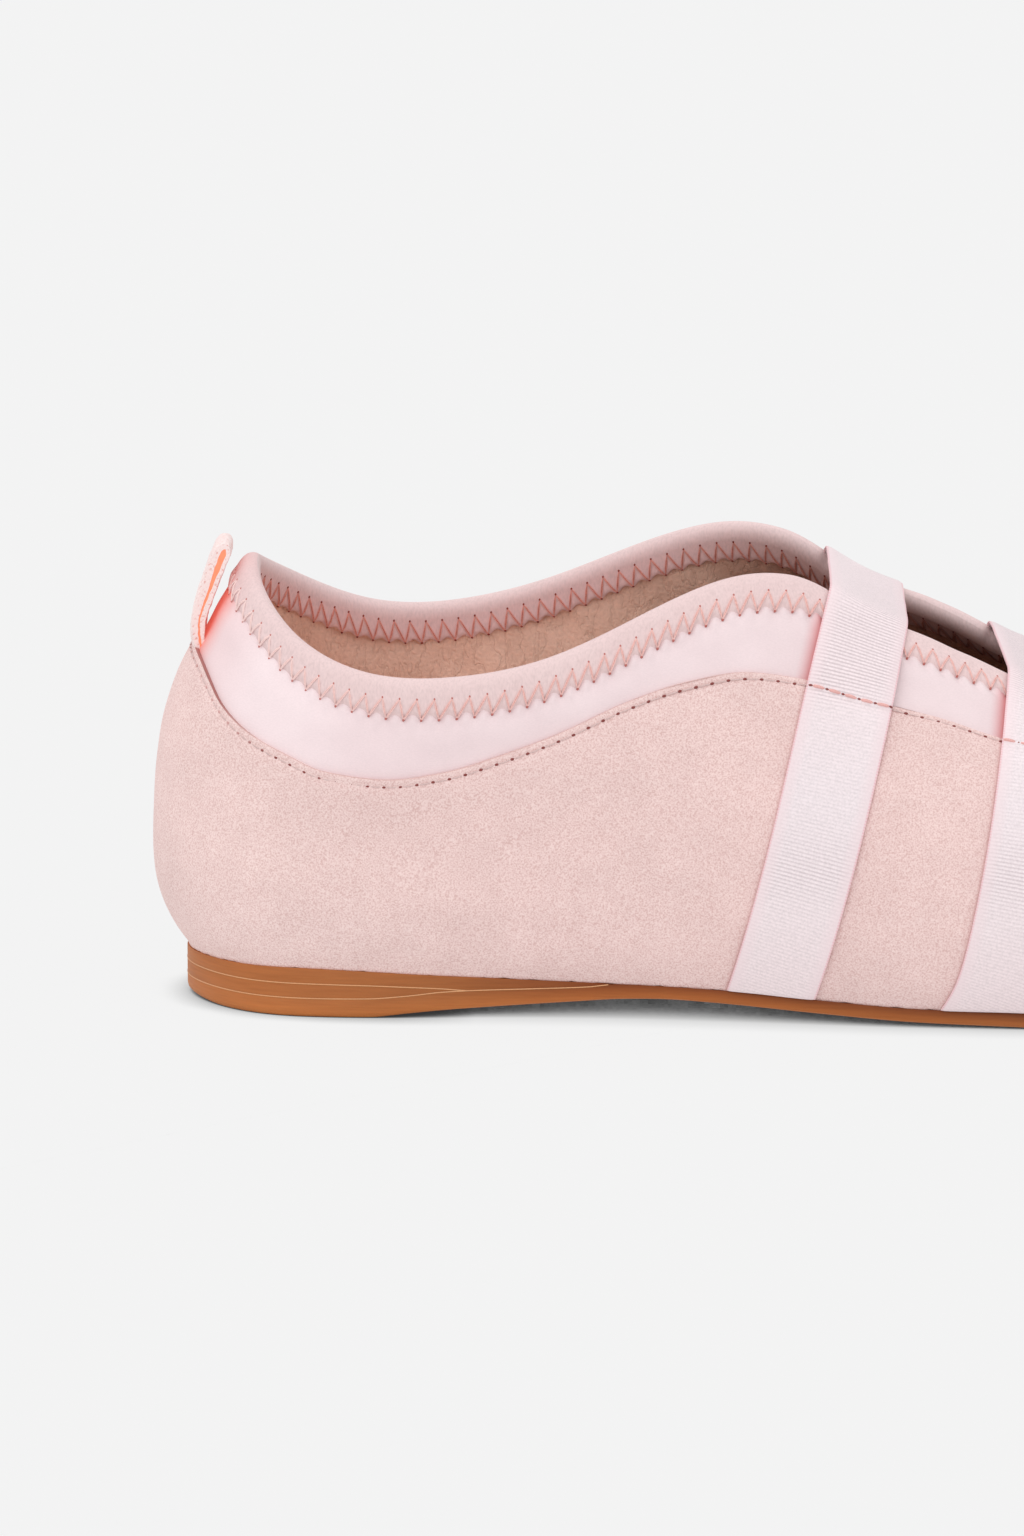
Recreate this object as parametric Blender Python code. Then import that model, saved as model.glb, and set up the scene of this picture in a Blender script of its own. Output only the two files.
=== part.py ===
"""Ballet sneaker for a right foot: a low slip-on with a suede lower panel, a satin upper panel,
a soft bound collar, two elastic straps over the instep, a heel pull loop and a thin gum sole
with a two-layer heel.

Built in metres, +X to the toe, +Y to the wearer's left (the inner side of this right foot),
+Z up, standing on its sole.  Sizes below are in millimetres unless they say otherwise.
"""
import math

import bmesh
import bpy
import numpy as np

MM = 0.001

# --- walls, layers and gaps -------------------------------------------------------------------
GAP = 0.3                 # left between pieces that touch
WALL = 2.0                # lining and satin together
SUEDE = 0.8               # the suede panel stands this far out of the satin
BAND_DEPTH = 7.0          # collar binding, measured down from its crest
BAND_WIDTH = 3.8          # across the folded binding
BAND_SKIN = 1.0           # one leg of the folded binding
MARGIN = 10.0             # upper turned in under the foot
MARGIN_SKIN = 1.6
SOLE_LEDGE = 0.5          # sole beyond the bottom edge of the upper
SOLE_ROUND = 0.9          # rounding of the sole's lower edge
INSOLE = 3.0
STRAP_SKIN = 1.2
STRAP_PRESS = 1.5         # how far a strap presses the soft collar down
STRAP_PRESS_RUN = 15.0    # the collar dips this far to either side of the strap's middle
STRAP_SWAY_RUN = 90.0     # height of one whole sway of a strap's middle line
STRAP_FLARE_RUN = 5.5     # height over which a strap's end swings back
STRAP_WIDTH = 15.4        # measured along the shoe
LOOP_WIDTH = 13.0
LOOP_SKIN = 1.05

# --- how finely the shapes are drawn ------------------------------------------------------------
STEPS_PER_SECTION = 3
MERIDIAN_STEPS = 120
SUEDE_ROWS = 8
SATIN_ROWS = 3
LINING_ROWS = 6
SOLE_ROWS = 38

# --- sections round the shoe: heel back, outer side, toe, inner side -----------------------------
# foot_*: bottom edge of the upper, on the sole.  wide_*: widest line of the upper.
# crest_*: top of the collar.
SECTION_COLUMNS = ("foot_x", "foot_y", "wide_x", "wide_y", "crest_x", "crest_y", "crest_z")
SECTIONS = (
    (6.0, 0.0, -0.2, 0.0, 17.9, 0.0, 76.4),
    (9.4, -11.6, 4.4, -15.2, 18.4, -8.6, 74.5),
    (18.0, -21.5, 16.5, -26.2, 24.6, -17.6, 65.9),
    (31.0, -25.5, 33.0, -30.4, 36.0, -23.9, 60.1),
    (50.0, -26.1, 52.0, -30.8, 51.0, -26.2, 59.3),
    (71.0, -26.8, 72.0, -31.6, 68.0, -24.8, 62.3),
    (92.0, -29.4, 92.0, -33.4, 84.0, -21.6, 69.1),
    (112.0, -32.3, 112.0, -36.5, 98.0, -19.1, 74.9),
    (132.0, -34.9, 132.0, -39.6, 110.0, -17.5, 75.6),
    (152.0, -36.5, 152.0, -41.7, 122.0, -16.3, 71.1),
    (171.0, -37.4, 172.0, -42.9, 136.0, -15.5, 63.2),
    (190.0, -36.7, 192.0, -42.0, 149.0, -14.7, 57.8),
    (208.0, -33.0, 210.5, -37.9, 160.0, -13.0, 54.4),
    (224.0, -26.3, 227.5, -30.2, 169.0, -9.6, 51.9),
    (236.2, -16.9, 240.2, -19.6, 174.9, -4.8, 50.5),
    (243.6, -7.2, 247.8, -8.0, 176.8, -1.6, 50.1),
    (246.0, 3.4, 250.0, 3.6, 177.2, 1.2, 50.0),
    (243.9, 13.4, 247.9, 14.6, 176.6, 4.2, 50.3),
    (237.1, 22.4, 240.8, 25.2, 174.6, 7.4, 51.0),
    (225.2, 29.9, 228.4, 34.0, 169.0, 11.2, 53.2),
    (209.0, 34.8, 211.0, 39.6, 160.0, 13.8, 56.3),
    (190.0, 36.6, 192.0, 41.6, 149.0, 14.9, 60.3),
    (171.0, 35.8, 172.0, 40.8, 136.0, 15.6, 65.7),
    (150.0, 32.8, 152.0, 38.0, 122.0, 16.3, 72.8),
    (130.0, 28.4, 132.0, 34.2, 110.0, 17.5, 78.2),
    (111.0, 24.4, 112.0, 30.6, 98.0, 19.1, 79.1),
    (92.0, 22.7, 92.0, 28.8, 84.0, 21.6, 74.9),
    (71.0, 23.9, 72.0, 28.6, 68.0, 24.8, 68.4),
    (50.0, 25.2, 52.0, 29.6, 51.0, 26.2, 64.4),
    (31.0, 25.5, 33.0, 30.2, 36.0, 23.9, 65.3),
    (18.0, 21.5, 16.5, 26.2, 24.6, 17.6, 70.6),
    (9.4, 11.6, 4.4, 15.2, 18.4, 8.6, 75.1),
)

# --- how the wall rises, by the place of its widest line ------------------------------------------
# height: of the widest line.  lean: inward from upright at the crest, degrees.
# hold, reach: how long it keeps upright below and follows the lean above, as shares of its run.
WALL_COLUMNS = ("x", "height", "lean", "hold", "reach")
WALL_TABLE = (
    (0.0, 26.0, 31.0, 0.53, 0.44),
    (16.0, 26.5, 20.0, 0.46, 0.37),
    (33.0, 26.5, 12.0, 0.40, 0.30),
    (60.0, 25.0, 13.0, 0.36, 0.30),
    (90.0, 23.0, 19.0, 0.34, 0.30),
    (120.0, 20.0, 27.0, 0.33, 0.30),
    (150.0, 18.0, 38.0, 0.31, 0.31),
    (175.0, 17.0, 50.0, 0.29, 0.33),
    (200.0, 17.0, 59.0, 0.29, 0.34),
    (225.0, 17.5, 65.0, 0.29, 0.37),
    (250.0, 18.0, 69.0, 0.26, 0.39),
)
TUCK = 0.6                # how far the lower wall keeps upright before it turns in to the sole

# --- top edge of the suede panel, seen from the side ----------------------------------------------
PANEL_COLUMNS = ("x", "height")
PANEL_EDGE = (
    (7.0, 61.9),
    (8.6, 59.5),
    (12.0, 53.6),
    (15.0, 50.6),
    (18.5, 48.3),
    (23.0, 46.2),
    (30.0, 43.4),
    (41.0, 42.2),
    (50.0, 43.4),
    (60.0, 46.4),
    (70.0, 50.1),
    (82.0, 55.5),
    (92.0, 58.8),
    (102.0, 60.5),
    (111.0, 59.6),
    (122.0, 56.5),
    (135.0, 53.0),
    (150.0, 48.7),
    (170.0, 46.6),
    (195.0, 45.6),
)

# --- side lines of the sole -----------------------------------------------------------------------
# under: tread face.  tread: top of the outsole.  lift: top of the lower heel layer.
# seat: where the upper sits.
SOLE_COLUMNS = ("x", "under", "tread", "lift", "seat")
SOLE_LINES = (
    (5.0, 0.6, 3.3, 5.85, 8.1),
    (13.0, 0.0, 3.3, 5.85, 8.3),
    (25.0, 0.0, 3.3, 5.85, 8.5),
    (37.0, 0.0, 3.4, 5.7, 8.1),
    (44.0, 0.7, 3.9, 5.45, 7.7),
    (50.0, 1.3, 4.6, 5.2, 7.4),
    (55.0, 1.7, 4.9, 4.9, 7.2),
    (66.0, 2.5, 5.3, 5.3, 6.75),
    (75.0, 3.2, 5.75, 5.75, 6.45),
    (80.0, 3.6, 6.3, 6.3, 6.3),
    (88.0, 3.8, 6.1, 6.1, 6.1),
    (96.0, 3.45, 5.8, 5.8, 5.8),
    (114.0, 2.1, 4.5, 4.5, 4.5),
    (131.0, 0.95, 3.35, 3.35, 3.35),
    (142.0, 0.6, 3.1, 3.1, 3.1),
    (154.0, 0.25, 3.0, 3.0, 3.0),
    (166.0, 0.0, 2.95, 2.95, 2.95),
    (188.0, 0.0, 2.95, 2.95, 2.95),
    (205.0, 0.8, 3.8, 3.8, 3.8),
    (220.0, 2.2, 5.2, 5.2, 5.2),
    (235.0, 4.2, 7.2, 7.2, 7.2),
    (248.0, 6.4, 9.4, 9.4, 9.4),
)
LIFT_END = 50.0           # front of the lower heel layer
WEDGE_END = 76.0          # front of the upper heel layer

# --- straps: middle line at the sole, lean forward going up, its sway to either side, how far its
# lower end swings back, how far it lies further back on the inner side -----------------------------
STRAP_COLUMNS = ("name", "sole_x", "lean", "sway", "flare", "inner_back")
STRAPS = (
    ("strap_rear", 104.8, 0.266, 0.45, 0.0, 0.0),
    ("strap_front", 143.5, 0.200, 0.7, 2.4, 2.2),
)

# --- pull loop, middle of the webbing, from the inner base over the top to the outer base ----------
LOOP_COLUMNS = ("x", "z")
LOOP_PATH = (
    (8.5, 64.6),
    (8.85, 66.2),
    (9.55, 68.4),
    (10.5, 70.9),
    (11.4, 73.3),
    (12.4, 75.8),
    (13.15, 77.6),
    (13.05, 78.5),
    (12.25, 78.85),
    (11.3, 78.3),
    (10.15, 75.7),
    (8.85, 72.0),
    (7.85, 69.2),
    (7.2, 66.2),
    (6.95, 64.2),
    (6.95, 62.5),
)

# --- finishes: linear colour, roughness ------------------------------------------------------------
FINISHES = {
    "suede": ((0.80, 0.60, 0.57), 0.95),
    "satin": ((0.93, 0.78, 0.79), 0.45),
    "binding": ((0.85, 0.68, 0.69), 0.85),
    "elastic": ((0.88, 0.73, 0.76), 0.60),
    "webbing": ((0.92, 0.72, 0.70), 0.80),
    "gum": ((0.45, 0.16, 0.05), 0.45),
    "insole leather": ((0.48, 0.33, 0.26), 0.60),
}


def column(table, names, name):
    """One column of a table as an array."""
    place = names.index(name)
    return np.array([row[place] for row in table], dtype=float)


def through(xs, ys, at):
    """Curve through points that never overshoots them (monotone cubic)."""
    at = np.clip(np.asarray(at, dtype=float), xs[0], xs[-1])
    steps = np.diff(xs)
    slopes = np.diff(ys) / steps
    ends = np.zeros(len(xs))
    same = slopes[:-1] * slopes[1:] > 0.0
    before = 2.0 * steps[1:] + steps[:-1]
    after = steps[1:] + 2.0 * steps[:-1]
    inner = np.zeros(len(same))
    inner[same] = (before + after)[same] / (before[same] / slopes[:-1][same]
                                            + after[same] / slopes[1:][same])
    ends[1:-1] = inner
    ends[0] = slopes[0]
    ends[-1] = slopes[-1]
    span = np.clip(np.searchsorted(xs, at, side="right") - 1, 0, len(xs) - 2)
    run = steps[span]
    u = (at - xs[span]) / run
    return ((1 + 2 * u) * (1 - u) ** 2 * ys[span] + u * (1 - u) ** 2 * run * ends[span]
            + u * u * (3 - 2 * u) * ys[span + 1] + u * u * (u - 1) * run * ends[span + 1])


def sole_line(name, x):
    """Height of one of the sole's side lines at x."""
    return through(column(SOLE_LINES, SOLE_COLUMNS, "x"), column(SOLE_LINES, SOLE_COLUMNS, name), x)


def panel_edge(x):
    """Height of the suede panel's top edge at x."""
    return through(column(PANEL_EDGE, PANEL_COLUMNS, "x"), column(PANEL_EDGE, PANEL_COLUMNS, "height"), x)


def wall_value(name, x):
    """One value of the wall table by the place of the widest line."""
    return through(column(WALL_TABLE, WALL_COLUMNS, "x"), column(WALL_TABLE, WALL_COLUMNS, name), x)


def section_knots():
    """Places of the sections round the shoe, by the run of the widest line between them."""
    wide = np.array([[row[2], row[3]] for row in SECTIONS])
    steps = np.linalg.norm(np.roll(wide, -1, axis=0) - wide, axis=1)
    return np.concatenate(([0.0], np.cumsum(steps)))


def round_the_shoe(at):
    """Section values at any place round the shoe: a smooth closed curve through the table."""
    knots = section_knots()
    values = np.array(SECTIONS, dtype=float)
    count = len(values)
    steps = np.diff(knots)
    system = np.zeros((count, count))
    right = np.zeros_like(values)
    for i in range(count):
        before = steps[i - 1]
        after = steps[i]
        system[i, i - 1] += before
        system[i, i] += 2.0 * (before + after)
        system[i, (i + 1) % count] += after
        right[i] = 6.0 * ((values[(i + 1) % count] - values[i]) / after
                          - (values[i] - values[i - 1]) / before)
    bends = np.linalg.solve(system, right)
    at = np.mod(np.asarray(at, dtype=float), knots[-1])
    span = np.clip(np.searchsorted(knots, at, side="right") - 1, 0, count - 1)
    run = steps[span][:, None]
    v = (at - knots[span])[:, None] / run
    u = 1.0 - v
    following = (span + 1) % count
    return (u * values[span] + v * values[following]
            + run * run / 6.0 * ((u ** 3 - u) * bends[span] + (v ** 3 - v) * bends[following]))


def inward(at):
    """Level direction square to the widest line, into the shoe."""
    ahead = round_the_shoe(at + 0.5)[:, 2:4] - round_the_shoe(at - 0.5)[:, 2:4]
    across = np.stack([-ahead[:, 1], ahead[:, 0]], axis=1)
    across /= np.linalg.norm(across, axis=1)[:, None]
    return np.column_stack([across, np.zeros(len(across))])


def strap_middle(strap, y, z):
    """x of a strap's middle line at some heights; the inner side has positive y."""
    _, sole_x, lean, sway, flare, inner_back = strap
    return (sole_x + lean * z + sway * np.sin(2.0 * math.pi * z / STRAP_SWAY_RUN)
            - flare * np.exp(-(z / STRAP_FLARE_RUN) ** 2) - inner_back * (np.asarray(y) > 0.0))


def pressed_down(x, y, z):
    """How far the straps press the collar's crest down at some places."""
    total = np.zeros(len(x))
    for strap in STRAPS:
        off = np.clip((x - strap_middle(strap, y, z)) / STRAP_PRESS_RUN, -1.0, 1.0)
        total += STRAP_PRESS * np.cos(0.5 * math.pi * off) ** 2
    return total


def meridians(at):
    """Outer surface from the sole to the collar crest, one line of points for each place."""
    rows = round_the_shoe(at)
    rows[:, 6] -= pressed_down(rows[:, 4], rows[:, 5], rows[:, 6])
    up = np.array([0.0, 0.0, 1.0])
    level = inward(at)
    foot = np.column_stack([rows[:, 0:2], sole_line("seat", rows[:, 0]) + GAP])
    wide = np.column_stack([rows[:, 2:4], wall_value("height", rows[:, 2])])
    lean = np.radians(wall_value("lean", rows[:, 2]))[:, None]
    rising = np.sin(lean) * level + np.cos(lean) * up
    outward = -np.cos(lean) * level + np.sin(lean) * up
    crest = rows[:, 4:7] + 0.5 * BAND_WIDTH * outward
    run = np.linalg.norm(crest - wide, axis=1)[:, None]
    knee = wide - TUCK * (wide[:, 2] - foot[:, 2])[:, None] * up
    first = wide + wall_value("hold", rows[:, 2])[:, None] * run * up
    second = crest - wall_value("reach", rows[:, 2])[:, None] * run * rising
    low = []
    for v in np.linspace(0.0, 1.0, MERIDIAN_STEPS // 3, endpoint=False):
        low.append((1 - v) ** 2 * foot + 2 * v * (1 - v) * knee + v * v * wide)
    high = []
    for v in np.linspace(0.0, 1.0, MERIDIAN_STEPS - MERIDIAN_STEPS // 3):
        high.append((1 - v) ** 3 * wide + 3 * v * (1 - v) ** 2 * first
                    + 3 * v * v * (1 - v) * second + v ** 3 * crest)
    return np.stack(low + high, axis=1)


class Skin:
    """The outer surface of the upper: any place on it, inside it or outside it."""

    def __init__(self, at):
        self.points = meridians(at)
        along = meridians(at + 0.4) - meridians(at - 0.4)
        rising = np.gradient(self.points, axis=1)
        normals = np.cross(along, rising)
        self.normals = normals / np.linalg.norm(normals, axis=2)[:, :, None]
        steps = np.linalg.norm(np.diff(self.points, axis=1), axis=2)
        self.runs = np.concatenate([np.zeros((len(at), 1)), np.cumsum(steps, axis=1)], axis=1)
        self.length = self.runs[:, -1]

    def place(self, station, rise, out):
        """Point at a run `rise` up from the sole edge, `out` from the surface."""
        spot = [np.interp(rise, self.runs[station], self.points[station, :, k]) for k in range(3)]
        face = np.array([np.interp(rise, self.runs[station], self.normals[station, :, k])
                         for k in range(3)])
        return np.array(spot) + out * face / np.linalg.norm(face)

    def panel_rise(self, station):
        """Run from the sole edge to the top edge of the suede panel."""
        over = self.points[station, :, 2] - panel_edge(self.points[station, :, 0])
        k = int(np.argmax(over > 0.0))
        share = over[k - 1] / (over[k - 1] - over[k])
        return self.runs[station, k - 1] + share * (self.runs[station, k] - self.runs[station, k - 1])


def stations():
    """Places round the shoe where the surfaces are drawn."""
    knots = section_knots()
    places = []
    for start, end in zip(knots[:-1], knots[1:]):
        places.extend(np.linspace(start, end, STEPS_PER_SECTION, endpoint=False))
    return np.array(places)


def foot_outline(inset, at):
    """Bottom edge of the upper moved in (or out, if negative), level."""
    rows = round_the_shoe(at)[:, 0:2]
    ahead = round_the_shoe(at + 0.5)[:, 0:2] - round_the_shoe(at - 0.5)[:, 0:2]
    ahead /= np.linalg.norm(ahead, axis=1)[:, None]
    return rows + inset * np.column_stack([-ahead[:, 1], ahead[:, 0]])


def link(name, points, faces, finish):
    """A new mesh object from points in millimetres."""
    mesh = bpy.data.meshes.new(name)
    mesh.from_pydata([tuple(p * MM) for p in points], [], faces)
    work = bmesh.new()
    work.from_mesh(mesh)
    bmesh.ops.recalc_face_normals(work, faces=work.faces)
    if work.calc_volume(signed=True) < 0.0:
        bmesh.ops.reverse_faces(work, faces=work.faces)
    work.to_mesh(mesh)
    work.free()
    mesh.polygons.foreach_set("use_smooth", [True] * len(mesh.polygons))
    mesh.set_sharp_from_angle(angle=math.radians(40.0))
    mesh.materials.append(finish)
    part = bpy.data.objects.new(name, mesh)
    shoe.objects.link(part)
    return part


def ring_loft(name, rings, finish):
    """Closed band of section rings, every ring a closed line of points, the last joined to the first."""
    count = len(rings)
    size = len(rings[0])
    points = [p for ring in rings for p in ring]
    faces = []
    for i in range(count):
        j = (i + 1) % count
        for k in range(size):
            m = (k + 1) % size
            faces.append((i * size + k, j * size + k, j * size + m, i * size + m))
    return link(name, points, faces, finish)


def cross_rows(outline, start, end, count):
    """Pairs of side points at shared x over a closed outline: (x, outer side y, inner side y)."""
    toe = int(np.argmax(outline[:, 0]))
    heel = int(np.argmin(outline[:, 0]))
    turned = np.roll(outline, -heel, axis=0)
    toe = (toe - heel) % len(outline)
    outer = turned[:toe + 1]
    inner = np.vstack([turned[toe:], turned[:1]])[::-1]
    low = outline[heel, 0] if start is None else start
    high = outline[(toe + heel) % len(outline), 0] if end is None else end
    if end is None:
        shares = 0.5 - 0.5 * np.cos(np.linspace(0.0, math.pi, count))
    else:
        shares = 1.0 - np.cos(np.linspace(0.0, 0.5 * math.pi, count))
    xs = low + (high - low) * shares
    return np.column_stack([xs, np.interp(xs, outer[:, 0], outer[:, 1]),
                            np.interp(xs, inner[:, 0], inner[:, 1])])


def slab(name, levels, finish):
    """Solid between levels, each a list of cross rows with their heights: (x, y outer, y inner, z)."""
    points = []
    rings = []
    for rows in levels:
        outer = []
        inner = []
        for k, (x, y_outer, y_inner, z) in enumerate(rows):
            points.append(np.array([x, y_outer, z]))
            outer.append(len(points) - 1)
            if abs(y_outer - y_inner) < 0.01:
                inner.append(outer[-1])
            else:
                points.append(np.array([x, y_inner, z]))
                inner.append(len(points) - 1)
        rings.append((outer, inner))
    faces = []

    def face(*corners):
        kept = [c for k, c in enumerate(corners) if c != corners[k - 1]]
        if len(set(kept)) > 2:
            faces.append(tuple(kept))

    for (low_outer, low_inner), (top_outer, top_inner) in zip(rings[:-1], rings[1:]):
        for k in range(len(low_outer) - 1):
            face(low_outer[k], low_outer[k + 1], top_outer[k + 1], top_outer[k])
            face(low_inner[k + 1], low_inner[k], top_inner[k], top_inner[k + 1])
        if low_outer[-1] != low_inner[-1]:
            face(low_outer[-1], low_inner[-1], top_inner[-1], top_outer[-1])
    for outer, inner in (rings[0], rings[-1]):
        for k in range(len(outer) - 1):
            face(outer[k], inner[k], inner[k + 1], outer[k + 1])
    return link(name, points, faces, finish)


def level_rows(inset, height, start=None, end=None, count=SOLE_ROWS):
    """Cross rows of the foot outline moved in by `inset`, with heights from a function of x."""
    at = np.linspace(0.0, section_knots()[-1], 720, endpoint=False)
    rows = cross_rows(foot_outline(inset, at), start, end, count)
    return [(x, y_outer, y_inner, float(height(x))) for x, y_outer, y_inner in rows]


def ribbon(name, grid, faces_up, thickness, finish):
    """Closed sheet round a grid of middle points, with its own face directions and thickness."""
    rows, columns = grid.shape[:2]
    half = 0.5 * thickness
    upper = grid + faces_up * half[:, None, None]
    lower = grid - faces_up * half[:, None, None]
    points = [p for p in upper.reshape(-1, 3)] + [p for p in lower.reshape(-1, 3)]
    shift = rows * columns
    faces = []
    for i in range(rows - 1):
        for k in range(columns - 1):
            a = i * columns + k
            b = a + columns
            faces.append((a, a + 1, b + 1, b))
            faces.append((a + shift, b + shift, b + shift + 1, a + shift + 1))
        for k in (0, columns - 1):
            a = i * columns + k
            b = a + columns
            faces.append((a, b, b + shift, a + shift))
    for i in (0, rows - 1):
        for k in range(columns - 1):
            a = i * columns + k
            faces.append((a, a + 1, a + 1 + shift, a + shift))
    return link(name, points, faces, finish)


def make_upper(finish):
    """Suede and satin panels with their lining as one hollow wall, turned in under the foot."""
    at = stations()
    skin = Skin(at)
    inside = SUEDE + WALL
    corner = foot_outline(inside + 0.6, at)
    edge = foot_outline(MARGIN, at)
    rings = []
    for j in range(len(at)):
        top = skin.length[j]
        panel = skin.panel_rise(j)
        band = top - BAND_DEPTH - GAP
        shares = np.linspace(0.0, 1.0, SUEDE_ROWS + 1) ** 1.35    # rows closer where the wall turns
        ring = [skin.place(j, rise, 0.0) for rise in shares * panel]
        ring += [skin.place(j, rise, -SUEDE) for rise in np.linspace(panel + 0.15, band, SATIN_ROWS + 1)]
        outer = -BAND_SKIN - GAP
        inner = -BAND_WIDTH + BAND_SKIN + GAP
        low_top = top - BAND_SKIN - GAP
        ring += [skin.place(j, rise, outer) for rise in (band, 0.5 * (band + low_top), low_top)]
        ring += [skin.place(j, rise, inner) for rise in (low_top, 0.5 * (band + low_top), band)]
        ring += [skin.place(j, rise, -inside) for rise in np.linspace(band, 3.2, LINING_ROWS)]
        for x, y in (corner[j], edge[j]):
            ring.append(np.array([x, y, sole_line("seat", x) + GAP + MARGIN_SKIN]))
        ring.append(np.array([edge[j][0], edge[j][1], sole_line("seat", edge[j][0]) + GAP]))
        rings.append(ring)
    return ring_loft("upper", rings, finish)


def make_binding(finish):
    """Soft band folded over the collar edge, its crest rounded."""
    skin = Skin(stations())
    depth = BAND_DEPTH
    width = BAND_WIDTH
    leg = BAND_SKIN
    profile = (
        (depth, -leg + 0.1), (depth - 0.4, -0.1), (0.5 * depth, 0.0), (1.2, -0.2), (0.3, -0.9),
        (0.0, -0.5 * width),
        (0.3, 0.9 - width), (1.2, 0.2 - width), (0.5 * depth, -width), (depth - 0.4, 0.1 - width),
        (depth, leg - 0.1 - width), (0.5 * depth, leg - width), (leg, leg - width),
        (leg, -leg), (0.5 * depth, -leg),
    )
    rings = []
    for j in range(len(skin.length)):
        rings.append([skin.place(j, skin.length[j] - down, out) for down, out in profile])
    return ring_loft("collar_binding", rings, finish)


def make_outsole(finish):
    """Thin tread layer: heel, raised arch, flat tread under the ball, toe spring."""
    ledge = -SOLE_LEDGE

    def under(x):
        return sole_line("under", x)

    levels = [
        level_rows(ledge + SOLE_ROUND, under),
        level_rows(ledge + 0.25 * SOLE_ROUND, lambda x: under(x) + 0.3 * SOLE_ROUND),
        level_rows(ledge, lambda x: under(x) + SOLE_ROUND),
        level_rows(ledge, lambda x: sole_line("tread", x)),
    ]
    return slab("outsole", levels, finish)


def make_heel_layers(finish):
    """Two wedges between the outsole and the upper, each running out toward the arch."""
    ledge = -SOLE_LEDGE
    lift = [
        level_rows(ledge, lambda x: sole_line("tread", x) + GAP, None, LIFT_END, 16),
        level_rows(ledge, lambda x: sole_line("lift", x), None, LIFT_END, 16),
    ]
    wedge = [
        level_rows(ledge, lambda x: sole_line("lift", x) + GAP, None, WEDGE_END, 22),
        level_rows(ledge, lambda x: sole_line("seat", x), None, WEDGE_END, 22),
    ]
    return slab("heel_lift", lift, finish), slab("heel_wedge", wedge, finish)


def make_insole(finish):
    """Footbed on the turned-in margin, its lower step filling the space inside the margin."""
    board = GAP + MARGIN_SKIN + GAP
    levels = [
        level_rows(MARGIN + 0.5, lambda x: sole_line("seat", x) + GAP),
        level_rows(MARGIN + 0.5, lambda x: sole_line("seat", x) + board),
        level_rows(SUEDE + WALL + 0.8, lambda x: sole_line("seat", x) + board),
        level_rows(SUEDE + WALL + 0.2, lambda x: sole_line("seat", x) + board + 0.5 * INSOLE),
        level_rows(SUEDE + WALL + 0.4, lambda x: sole_line("seat", x) + board + INSOLE),
    ]
    return slab("insole", levels, finish)


def make_strap(strap, finish):
    """Elastic strap from the sole, up one side, over the collar and the opening and down the other."""
    fine = np.linspace(0.0, section_knots()[-1], 700, endpoint=False)
    skin = Skin(fine)
    wide_y = round_the_shoe(fine)[:, 3]
    up = np.array([0.0, 0.0, 1.0])
    lift = 1.7 * GAP + 0.5 * STRAP_SKIN
    columns = np.linspace(-0.5, 0.5, 5) * STRAP_WIDTH
    sides = []
    for side in (-1.0, 1.0):
        picked = np.where(side * wide_y > 5.0)[0]
        points = skin.points[picked]
        normals = skin.normals[picked]
        runs = skin.runs[picked] / (skin.length[picked] - 1.5)[:, None]
        rows = []
        facing = []
        for share in (0.006, 0.03, 0.07, 0.13, 0.2, 0.3, 0.4, 0.5, 0.6, 0.69, 0.77, 0.84, 0.9, 0.95, 1.0):
            line = np.array([[np.interp(share, runs[i], points[i, :, k]) for k in range(3)]
                             for i in range(len(picked))])
            face = np.array([[np.interp(share, runs[i], normals[i, :, k]) for k in range(3)]
                             for i in range(len(picked))])
            off = line[:, 0] - strap_middle(strap, side, line[:, 2])
            order = np.argsort(off)
            spot = np.array([[np.interp(c, off[order], line[order, k]) for k in range(3)] for c in columns])
            out = np.array([[np.interp(c, off[order], face[order, k]) for k in range(3)] for c in columns])
            out /= np.linalg.norm(out, axis=1)[:, None]
            rows.append(spot + lift * out)
            facing.append(out)
        spot = rows[-1] - lift * facing[-1]
        out = facing[-1]
        ahead = np.gradient(spot, axis=0)
        ahead /= np.linalg.norm(ahead, axis=1)[:, None]
        rising = np.cross(out, ahead)
        rising *= np.sign(rising[:, 2])[:, None]
        radius = 0.5 * BAND_WIDTH
        centre = spot - radius * out
        turn = np.arctan2(np.sum(rising * up, axis=1), np.sum(out * up, axis=1))
        for share in (0.3, 0.6, 0.85, 1.0):
            angle = (share * turn)[:, None]
            out_now = np.cos(angle) * out + np.sin(angle) * rising
            rows.append(centre + (radius + lift) * out_now)
            facing.append(out_now)
        sides.append((rows, facing))
    (outer_rows, outer_face), (inner_rows, inner_face) = sides
    span_rows = []
    span_face = []
    for share in (0.2, 0.4, 0.6, 0.8):
        span_rows.append((1 - share) * outer_rows[-1] + share * inner_rows[-1])
        face = (1 - share) * outer_face[-1] + share * inner_face[-1]
        span_face.append(face / np.linalg.norm(face, axis=1)[:, None])
    grid = np.array(outer_rows + span_rows + inner_rows[::-1])
    facing = np.array(outer_face + span_face + inner_face[::-1])
    thickness = np.full(len(grid), STRAP_SKIN)
    thin = 0.5 * STRAP_SKIN
    for end in (0, -1):
        grid[end] -= 0.5 * (STRAP_SKIN - thin) * facing[end]
        thickness[end] = thin
    return ribbon(strap[0], grid, facing, thickness, finish)


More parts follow.
